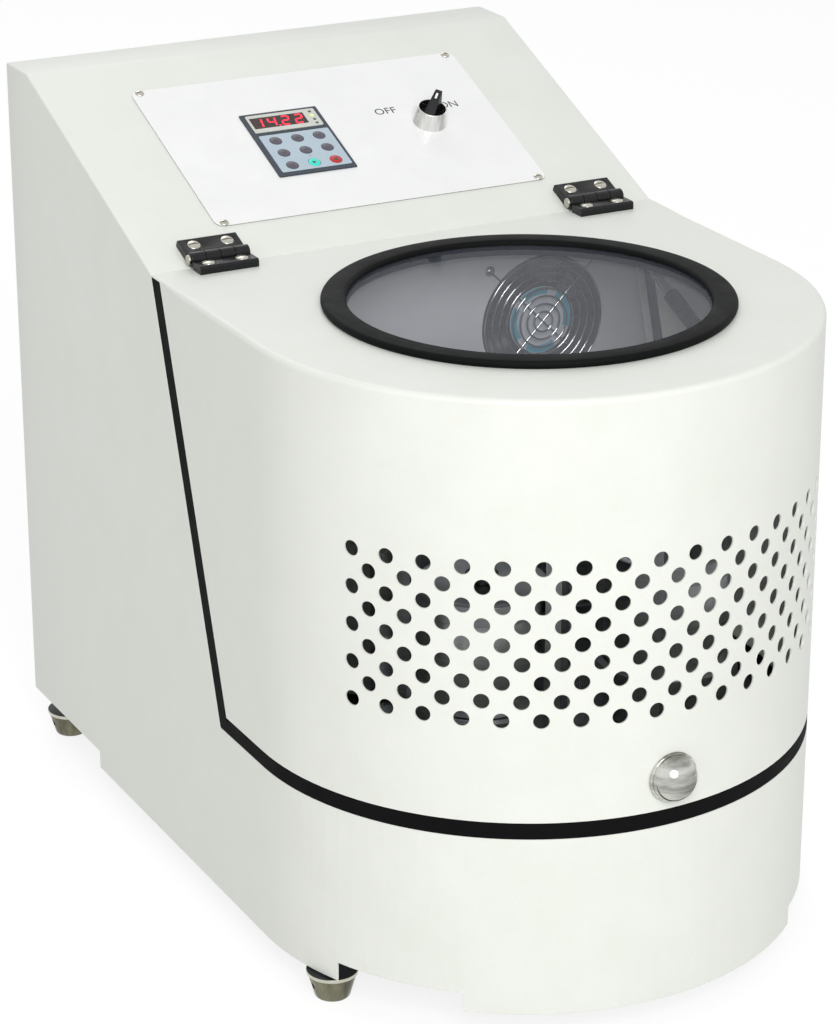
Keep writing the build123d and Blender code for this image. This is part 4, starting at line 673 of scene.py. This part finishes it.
dressNode("cabinet_shell", powderCoat, shell["edge"], [(shell["foldRadius"], 3, isHousingEdge)])
hoodPiece = dressNode("hood_shell", powderCoat, 0, [(shell["edge"], 2, isSharp)], reshape=roundRim)
smoothWalls(hoodPiece.data)
dressNode("bulkhead", chamberCoat, 0.3)
dressNode("base_pan", galvanised, 0.4)
dressNode("drive_deck", milled, 0.6)


def swellSeal(shape):
    # The rubber swells out until it is flush with the housing, over the sheet's cut edge
    for v in shape.verts:
        out = Vector((v.co.x, 0, 0)) if v.co.y > mill["frontY"] * mm else Vector((v.co.x, v.co.y - mill["frontY"] * mm, 0))
        if abs(out.length / mm - mill["frontRadius"] + shell["sealInset"]) < 0.05:
            v.co += out.normalized() * (shell["sealInset"] - shell["sealFace"]) * mm


dressNode("hood_seal", sealRubber, 0.9, segments=3, reshape=swellSeal)
dressNode("rear_cover", powderCoat, 0.4)
dressNode("power_inlet", [inletBlack, nickelPlate], 0.5)
print("housing and hood made")

# ---- window
gasket = {"outer": 164.0, "inner": 143.5, "rise": 6.5, "drop": 5.0, "lower": 157.0, "groove": 149.8}
top = mill["hoodTop"]
gasketProfile = [
    *arc((gasket["outer"] - 3.4, top + 3.1), 3.4, -60, 80, 8),
    *arc((gasket["inner"] + 4.2, top + 2.3), 4.2, 95, 180, 8),
    (gasket["inner"], top + 2.0), (147.2, top + 2.0), (147.2, top - 2.0), (gasket["inner"], top - 2.0),
    (gasket["inner"], top - 2 - gasket["drop"] + 1.5), (gasket["inner"] + 1.5, top - 2 - gasket["drop"]),
    (gasket["lower"] - 1.5, top - 2 - gasket["drop"]), (gasket["lower"], top - 2 - gasket["drop"] + 1.5),
    (gasket["lower"], top - 2.0), (gasket["groove"], top - 2.0), (gasket["groove"], top),
]
gasketShape = moveShape(latheShape(gasketProfile, 160, True), Matrix.Translation((0, mill["windowY"] * mm, 0)))
addPiece("windowProfileRing", finishMesh(gasketShape, "gasket"), "window_gasket", [glossRubber])
dressNode("window_pane", smokedAcrylic, 0.4)

# ---- chrome pull
pull = {"base": 20.5, "rim": 2.5, "radius": 19.0, "height": 19.0, "stud": 3.0, "studLength": 14.0}
rise = pull["height"] - pull["rim"]
domeRadius = (pull["radius"] ** 2 + rise ** 2) / (2 * rise)
domeFoot = math.degrees(math.asin((pull["rim"] - pull["height"] + domeRadius) / domeRadius))
pullProfile = [(0, 0), (pull["base"], 0), (pull["base"], pull["rim"] - 0.9), *arc((pull["base"] - 0.9, pull["rim"] - 0.9), 0.9, 0, 90, 4)]
pullProfile += arc((0, pull["height"] - domeRadius), domeRadius, domeFoot, 90, 18)
pullProfile[-1] = (0, pull["height"])
pullShape = latheShape(pullProfile, 72)
pullPlace = Matrix.Translation((0, (mill["frontY"] - mill["frontRadius"]) * mm, mill["pullZ"] * mm)) @ Matrix.Rotation(math.radians(90), 4, "X")
stud = latheShape([(0, -pull["studLength"]), (pull["stud"], -pull["studLength"]), (pull["stud"], 0.2), (0, 0.2)], 24)
addPiece("chromePull", finishMesh(moveShape(joinShapes([pullShape, stud]), pullPlace), "pull"), "hood_knob", [chrome])
print("window and pull made")

# ---- hinges and screws
hinge = {"centres": (-174.5, 179.5), "width": 52.0, "spacing": 29.7, "fixedScrewS": 20.0, "hoodScrewY": 50.0,
         "seat": 6.6, "pinHead": 2.0}
hingeX = [c + s * hinge["spacing"] / 2 for c in hinge["centres"] for s in (-1, 1)]


def hingeFace(centre, normal):
    # The pins' heads are plated, the leaves are painted
    beyond = [c - hinge["width"] / 2 - centre.x for c in hinge["centres"]]
    return 1 if any(0.1 < gap < 1.1 * hinge["pinHead"] for gap in beyond) else 0


dressNode("hinge_fixed_leaves", [hingePaint, nickelPlate], 0.45, choose=hingeFace)
dressNode("hinge_moving_leaves", hingePaint, 0.45)


def onSlope(x, s, lift):
    return slope @ Vector((x * mm, s * mm, lift * mm))


slopeNormal = slope.to_3x3() @ Vector((0, 0, 1))
plateScrews = [(x, s) for x in (-149, 149) for s in (48.57, 234.07)]
coverScrews = [(x, z) for x in (-209, 209) for z in (72, 319, 566)]
fanCorners = [(mill["fanX"] + i * 52.5, mill["fanZ"] + j * 52.5) for i in (-1, 1) for j in (-1, 1)]
small = {**screwSizes}
hingeScrew = {**screwSizes, "Head Radius": 0.0056, "Head Rise": 0.0016, "Shank Radius": 0.0026, "Shank Length": 0.012,
              "Slot Width": 0.0014, "Slot Depth": 0.0012}
fanScrew = {**screwSizes, "Head Rise": 0.0025, "Shank Radius": 0.002, "Shank Length": 0.018}
smallMesh = grow(screwTree, small, nickelPlate, [(onSlope(x, s, mill["plateLift"]), slopeNormal) for x, s in plateScrews]
                 + [(Vector((x, mill["rearY"] + 1.5, z)) * mm, Vector((0, 1, 0))) for x, z in coverScrews])
slopeHinge = grow(screwTree, hingeScrew, nickelPlate, [
    (onSlope(x, hinge["fixedScrewS"], hinge["seat"]), slopeNormal) for x in hingeX])
fanMesh = grow(screwTree, fanScrew, nickelPlate, [(Vector((x, mill["bulkheadY"] - 1.7, z)) * mm, Vector((0, -1, 0))) for x, z in fanCorners])
allScrews = bmesh.new()
for mesh in (smallMesh, slopeHinge, fanMesh):
    allScrews.from_mesh(mesh)
addPiece("housingScrewSet", finishMesh(allScrews, "housingScrews"), "housing_screws", [nickelPlate])
hoodScrews = grow(screwTree, hingeScrew, nickelPlate, [
    (Vector((x, hinge["hoodScrewY"], mill["hoodTop"] + hinge["seat"])) * mm, Vector((0, 0, 1))) for x in hingeX])
addPiece("hoodHingeScrewSet", hoodScrews, "hinge_hood_screws", [nickelPlate])
print("hinges and screws made")

# ---- console
dressNode("control_plate", [plateCoat, plateEdge], 0.25,
          choose=lambda centre, normal: 0 if normal.dot(slopeNormal) > 0.9 else 1)


dressNode("keypad_frame", slatePlastic, 0.35)
words = joinShapes([textShape("OFF", 8.6, 56.3, 165.7, mill["plateLift"], 0.12, slope),
                    textShape("ON", 8.6, 117.4, 163.2, mill["plateLift"], 0.12, slope)])
wordPiece = addPiece("switchWords", finishMesh(words, "switchWords"), "control_plate", [printInk], keep=True)

# ---- keypad: film with key holes, display with its digits, nine keys with printed marks
keypad = {"x": -40.4, "s": 140.116, "rise": 1.2, "film": 0.12, "fieldX": 1.1, "fieldY": -13.4, "rows": (3.8, -13.7, -31.5),
          "columns": (-19.3, 1.4, 21.9), "bezelX": 0.25, "bezelY": 29.5, "windowX": -4.55, "windowY": 30.25,
          "digitHeight": 13.2, "digitWidth": 8.0, "stroke": 1.6, "pitch": 12.7, "slant": 0.14, "lamps": (37.4, 32.0, 26.3, 21.0)}
keypadFrame = slope @ Matrix.Translation((keypad["x"] * mm, keypad["s"] * mm, mill["plateLift"] * mm))
keyPlaces = [(x, y) for y in keypad["rows"] for x in keypad["columns"]]


def roundedOutline(width, height, radius, x=0, y=0, steps=4):
    points = []
    for cx, cy, start in ((1, 1, 0), (-1, 1, 90), (-1, -1, 180), (1, -1, 270)):
        centre = (x + cx * (width / 2 - radius), y + cy * (height / 2 - radius))
        points += arc(centre, radius, start, start + 90, steps)
    return points


def paintShape(shape, number):
    for item in shape.faces:
        item.material_index = number
    return shape


def frameShape(outer, inner, low, high):
    # A flat ring between two outlines of as many points
    shape = bmesh.new()
    rings = [[shape.verts.new((x * mm, y * mm, z * mm)) for x, y in outline]
             for outline, z in ((outer, low), (outer, high), (inner, high), (inner, low))]
    count = len(outer)
    for low4, high4 in zip(rings, rings[1:] + rings[:1]):
        for i in range(count):
            j = (i + 1) % count
            shape.faces.new((low4[i], low4[j], high4[j], high4[i]))
    bmesh.ops.recalc_face_normals(shape, faces=shape.faces)
    return shape


filmSizes = {"Width": 0.0659, "Height": 0.0522, "Corner": 0.0016, "Hole Radius": 0.0056, "Thickness": 0.00012}


def makeFilmTree():
    # A printed film with rounded corners and a round hole at each place
    tree, start = openGrowth("punchedFilm", filmSizes)
    size = start.outputs
    sheet = addNode(tree, "GeometryNodeCurvePrimitiveQuadrilateral", {"Width": size["Width"], "Height": size["Height"]})
    eased = addNode(tree, "GeometryNodeFilletCurve", {"Curve": sheet.outputs[0], "Radius": size["Corner"], "Count": 4},
                    mode="POLY")
    hole = addNode(tree, "GeometryNodeCurvePrimitiveCircle", {"Resolution": 32, "Radius": size["Hole Radius"]})
    holes = addNode(tree, "GeometryNodeInstanceOnPoints", {"Points": size["Places"], "Instance": hole.outputs[0]})
    realHoles = addNode(tree, "GeometryNodeRealizeInstances", {"Geometry": holes.outputs[0]})
    lines = addNode(tree, "GeometryNodeJoinGeometry", {"Geometry": [eased.outputs[0], realHoles.outputs[0]]})
    filled = addNode(tree, "GeometryNodeFillCurve", {"Curve": lines.outputs[0]})
    raised = addNode(tree, "GeometryNodeExtrudeMesh", {
        "Mesh": filled.outputs[0], "Offset Scale": size["Thickness"], "Individual": False})
    under = addNode(tree, "GeometryNodeFlipFaces", {"Mesh": filled.outputs[0]})
    closed = addNode(tree, "GeometryNodeJoinGeometry", {"Geometry": [raised.outputs[0], under.outputs[0]]})
    merged = addNode(tree, "GeometryNodeMergeByDistance", {"Geometry": closed.outputs[0], "Distance": 1e-6})
    closeGrowth(tree, start, merged.outputs[0])
    return tree


filmHoles = [(Vector((x - keypad["fieldX"], y - keypad["fieldY"], 0)) * mm, Vector((0, 0, 1))) for x, y in keyPlaces]
film = bmesh.new()
film.from_mesh(grow(makeFilmTree(), filmSizes, overlayFilm, filmHoles))
moveShape(film, Matrix.Translation(Vector((keypad["fieldX"], keypad["fieldY"], keypad["rise"])) * mm))
dot = moveShape(latheShape([(0, 0), (0.55, 0), (0.55, 0.05), (0, 0.05)], 16),
                Matrix.Translation(Vector((keypad["columns"][1], -22.4, keypad["rise"] + keypad["film"])) * mm))
overlay = moveShape(joinShapes([paintShape(film, 0), paintShape(dot, 1)]), keypadFrame)
addPiece("keypadOverlay", finishMesh(overlay, "keypadOverlay"), "keypad_frame", [overlayFilm, printInk], keep=True)

segmentEnds = {"a": ((-1, 1), (1, 1)), "b": ((1, 1), (1, 0)), "c": ((1, 0), (1, -1)), "d": ((-1, -1), (1, -1)),
               "e": ((-1, 0), (-1, -1)), "f": ((-1, 1), (-1, 0)), "g": ((-1, 0), (1, 0))}
segmentsLit = {"1": "bc", "4": "bcfg", "2": "abdeg"}


def segmentOutline(ends, x, y):
    # One bar of a digit, pointed at both ends, leaning as the display does
    half = keypad["stroke"] / 2
    spread = Vector(((keypad["digitWidth"] - keypad["stroke"]) / 2, (keypad["digitHeight"] - keypad["stroke"]) / 2))
    a, b = (Vector((ex * spread.x, ey * spread.y)) for ex, ey in ends)
    along = (b - a).normalized()
    across = Vector((-along.y, along.x)) * half
    a, b = a + along * 0.2, b - along * 0.2
    points = [a, a + along * half - across, b - along * half - across, b, b - along * half + across, a + along * half + across]
    return [(x + p.x + p.y * keypad["slant"], y + p.y) for p in points]


displayParts = [
    frameShape(roundedOutline(65.4, 24.4, 1.6, keypad["bezelX"], keypad["bezelY"]),
               roundedOutline(51.2, 15.4, 0.5, keypad["windowX"], keypad["windowY"]), 0.7, 1.5),
    paintShape(prismShape(roundedOutline(51.6, 15.8, 0.5, keypad["windowX"], keypad["windowY"]), 0.7, 1.15), 1),
]
for place, digit in enumerate("1422"):
    x = keypad["windowX"] + (place - 1.5) * keypad["pitch"]
    for segment, ends in segmentEnds.items():
        lit = segment in segmentsLit[digit]
        shape = prismShape(segmentOutline(ends, x, keypad["windowY"]), 1.1, 1.24 if lit else 1.19)
        displayParts.append(paintShape(shape, 2 if lit else 3))
    if place == 1:
        point = latheShape([(0, 1.1), (0.95, 1.1), (0.95, 1.24), (0, 1.24)], 16)
        moveShape(point, Matrix.Translation(((x + 5.2) * mm, (keypad["windowY"] - 6.0) * mm, 0)))
        displayParts.append(paintShape(point, 2))
for i, y in enumerate(keypad["lamps"]):
    lamp = moveShape(latheShape([(0, 1.4), (1.5, 1.4), (1.5, 1.5), (1.2, 1.62), (0, 1.66)], 20),
                     Matrix.Translation((27.9 * mm, y * mm, 0)))
    displayParts.append(paintShape(lamp, 4 if i == 1 else 5))
display = finishMesh(moveShape(joinShapes(displayParts), keypadFrame), "display")
addPiece("displayUnit", display, "display_lens", [bezelFilm, windowFilm, digitGlow, digitDark, lampGreen, printInk])

key = {"radius": 5.3, "low": -1.4, "shoulder": 1.2, "top": 1.58, "print": 1.62}
keyProfile = [(0, key["low"]), (key["radius"], key["low"]), *arc((key["radius"] - 0.4, key["shoulder"]), 0.4, 0, 75, 5), (0, key["top"])]
keyMarks = {
    1: [[(-2.2, -1.4), (2.2, -1.4), (0, 2.0)]],
    2: [[(-2.0, -1.0), (2.0, -1.0), (2.0, 1.0), (-2.0, 1.0)]],
    3: [[(-2.4, 1.5), (-2.4, -1.5), (-0.1, 0)], [(0.1, 1.5), (0.1, -1.5), (2.4, 0)]],
    4: [[(-2.2, 1.4), (0, -2.0), (2.2, 1.4)]],
    5: [[(-2.2, -0.45), (2.2, -0.45), (2.2, 0.45), (-2.2, 0.45)]],
    6: [[(2.4, -1.5), (2.4, 1.5), (0.1, 0)], [(-0.1, -1.5), (-0.1, 1.5), (-2.4, 0)]],
    7: [[(-1.8, -1.8), (-0.5, -1.8), (-0.5, 1.8), (-1.8, 1.8)], [(0.5, -1.8), (1.8, -1.8), (1.8, 1.8), (0.5, 1.8)]],
    8: [[(-1.5, -2.0), (2.2, 0), (-1.5, 2.0)]],
    9: [[(-1.7, -1.7), (1.7, -1.7), (1.7, 1.7), (-1.7, 1.7)]],
}
for number, (x, y) in enumerate(keyPlaces, 1):
    marks = [paintShape(prismShape(outline, key["top"] - 0.1, key["print"]), 1) for outline in keyMarks[number]]
    cap = moveShape(joinShapes([latheShape(keyProfile, 48), *marks]), keypadFrame @ Matrix.Translation((x * mm, y * mm, 0)))
    colour, slot = {8: (keyTeal, "key_teal"), 9: (keyRed, "key_red")}.get(number, (keyGrey, "key_grey"))
    addPiece("keyCap%d" % number, finishMesh(cap, "keyCap", 40), "keypad_key_%d" % number, [colour, printInk])

# White mark along the upper end of the selector's sloped ridge
pointer = {"x": 89.0, "s": 143.416, "from": 16.2, "to": 21.4, "width": 1.9, "thickness": 0.15}
ridgeStart, ridgeEnd = Vector((-9.0, 12.5)), Vector((8.7, 26.5))
ridge = (ridgeEnd - ridgeStart).normalized()
ridgeFrame = Matrix((
    (ridge.x, 0, -ridge.y, ridgeStart.x * mm), (0, 1, 0, 0), (ridge.y, 0, ridge.x, ridgeStart.y * mm), (0, 0, 0, 1)))
strip = prismShape(roundedOutline(pointer["to"] - pointer["from"], pointer["width"], 0.5, (pointer["from"] + pointer["to"]) / 2),
                   -0.05, pointer["thickness"])
leverPlace = Matrix.Translation(Vector((pointer["x"], pointer["s"], mill["plateLift"])) * mm) @ Matrix.Rotation(math.radians(45), 4, "Z")
addPiece("pointerMark", finishMesh(moveShape(strip, slope @ leverPlace @ ridgeFrame), "pointerMark"), "selector_knob",
         [pointerPaint], keep=True)
print("console made")

# ---- fan rotor: hub with its label, seven twisted blades
fan = {"hub": 31.0, "tip": 55.5, "blades": 7, "chord": 24.0, "pitch": 38.0, "thickness": 2.0, "low": 63.5, "high": 90.5,
       "shaft": 3.0, "shaftReach": 23.0, "ringOuter": 29.6, "ringInner": 23.0}
halfFan = (fan["high"] - fan["low"]) / 2
hubProfile = [(0, -halfFan), (fan["hub"] - 1, -halfFan), (fan["hub"], 1 - halfFan), *arc((fan["hub"] - 2, halfFan - 2), 2, 0, 90, 6), (0, halfFan)]
bladeShape = bmesh.new()
columns = []
for i in range(9):
    along = i / 8
    radius = fan["hub"] - 2 + (fan["tip"] - fan["hub"] + 2) * along
    tilt = math.radians(fan["pitch"] + 8 - 16 * along)
    column = []
    for side, chordShare in [(1, 0.5 - j / 8) for j in range(9)] + [(-1, j / 8 - 0.5) for j in range(1, 8)]:
        camber = 2.4 * (0.25 - chordShare ** 2) * 4 * 0.5
        thick = fan["thickness"] / 2 * math.sqrt(max(0.0, 1 - (2 * chordShare) ** 2)) * side
        y = fan["chord"] * chordShare * math.cos(tilt) - (camber + thick) * math.sin(tilt)
        z = fan["chord"] * chordShare * math.sin(tilt) + (camber + thick) * math.cos(tilt)
        column.append(bladeShape.verts.new((math.sqrt(max(radius ** 2 - y ** 2, 0)) * mm, y * mm, z * mm)))
    columns.append(column)
for near, far in zip(columns, columns[1:]):
    for i in range(len(near)):
        j = (i + 1) % len(near)
        bladeShape.faces.new((near[i], near[j], far[j], far[i]))
bladeShape.faces.new(columns[0])
bladeShape.faces.new(list(reversed(columns[-1])))
bmesh.ops.recalc_face_normals(bladeShape, faces=bladeShape.faces)
hubLabel = paintShape(latheShape([(0, halfFan - 0.1), (fan["hub"] - 0.9, halfFan - 0.1), (fan["hub"] - 1.1, halfFan + 0.15), (0, halfFan + 0.15)], 64), 1)
ringParts = []
for start, end in ((-20, 55), (75, 130), (150, 215), (240, 300)):
    outline = arc((0, 0), fan["ringOuter"], start, end, 16) + arc((0, 0), fan["ringInner"], end, start, 16)
    ringParts.append(paintShape(prismShape(outline, halfFan, halfFan + 0.22), 2))
fanShaft = latheShape([(0, -fan["shaftReach"]), (fan["shaft"], -fan["shaftReach"]), (fan["shaft"], -halfFan + 0.1), (0, -halfFan + 0.1)], 24)
blades = paintShape(growAround(bladeShape, fan["blades"], bladePlastic), 0)
rotorShape = joinShapes([latheShape(hubProfile, 64), blades, fanShaft, hubLabel, *ringParts])
fanPlace = Matrix.Translation(Vector((mill["fanX"], (fan["low"] + fan["high"]) / 2, mill["fanZ"])) * mm) @ Matrix.Rotation(math.radians(90), 4, "X")
addPiece("fanWheel", finishMesh(moveShape(rotorShape, fanPlace), "fanWheel"), "fan_rotor", [bladePlastic, labelPaper, labelTeal])
print("fan wheel made")


# ---- feet: turned cups with a bright rim on threaded studs; the cup's top is painted dark as the shade of a recess
def footFinishAndRecessShade(centre, normal):
    reach = math.hypot(abs(centre.x) - 210, min(abs(centre.y + 206.5), abs(centre.y - 347)))
    # Top faces inside the rim take the black oxide as painted shade, standing for a recess that is not modelled
    if centre.z > 23.5 and reach < 18.5 and normal.z > 0.9 and centre.z < 24.5:
        return 2
    return 1 if 20.5 < centre.z < 24.5 else 0


def isFootHeel(edge):
    return all(v.co.z < 0.1 * mm for v in edge.verts)


dressNode("levelling_feet", [footSteelPaintedReflections, footRim, blackOxideAndRecessShade], 0.25, [(2.2, 4, isFootHeel)], footFinishAndRecessShade)

# ---- everything else, first pass
steelNodes = {
    "main_bearings": (groundSteel, "gear_steel"), "planet_bearings": (groundSteel, "gear_steel"),
    "sun_gear": (gearSteel, "gear_steel"), "main_shaft": (groundSteel, "gear_steel"),
    "turntable": (turnedTable, "machined_steel"), "driven_pulley": (castIron, "cast_hub"),
    "drive_pulley": (castIron, "cast_hub"), "drive_belt": (beltRubber, "belt_rubber"),
    "drive_motor": (motorPaint, "motor_grey"), "motor_shaft": (groundSteel, "gear_steel"),
    "inverter_box": (anodised, "aluminium"), "bearing_housing": (castIron, "cast_hub"),
    "strut_cylinder": (phenolic, "black_plastic"), "strut_rod": (chromeRod, "chrome"),
    "fan_housing": (fanPlastic, "black_plastic"), "switch_bezel": (bezelPolishAndReflections, "aluminium"),
    "selector_knob": (blackPlastic, "black_plastic"), "drive_bolts": (blackOxideAndRecessShade, "dark_steel"),
}
fineEdges = {"main_shaft": 0.2, "sun_gear": 0.2, "strut_cylinder": 0.2, "strut_rod": 0.2, "selector_knob": 0.3}
for node, (material, slot) in steelNodes.items():
    dressNode(node, material, fineEdges.get(node, 0.4))
for i in range(1, 5):
    dressNode("jar_holder_%d" % i, holderSteel, 0.5)
    dressNode("grinding_jar_%d" % i, stainless, 0.4)
    dressNode("clamp_screw_%d" % i, phenolic, 0.5)
guardMesh = grow(guardTree, guardSizes, guardWire)
guardShape = bmesh.new()
guardShape.from_mesh(guardMesh)
guardPlace = Matrix.Translation(Vector((mill["fanX"], mill["bulkheadY"] - 2.1, mill["fanZ"])) * mm) @ Matrix.Rotation(math.radians(90), 4, "X")
addPiece("fanWireGuard", finishMesh(moveShape(guardShape, guardPlace), "guard"), "fan_guard", [guardWire])
print("inner pieces made")
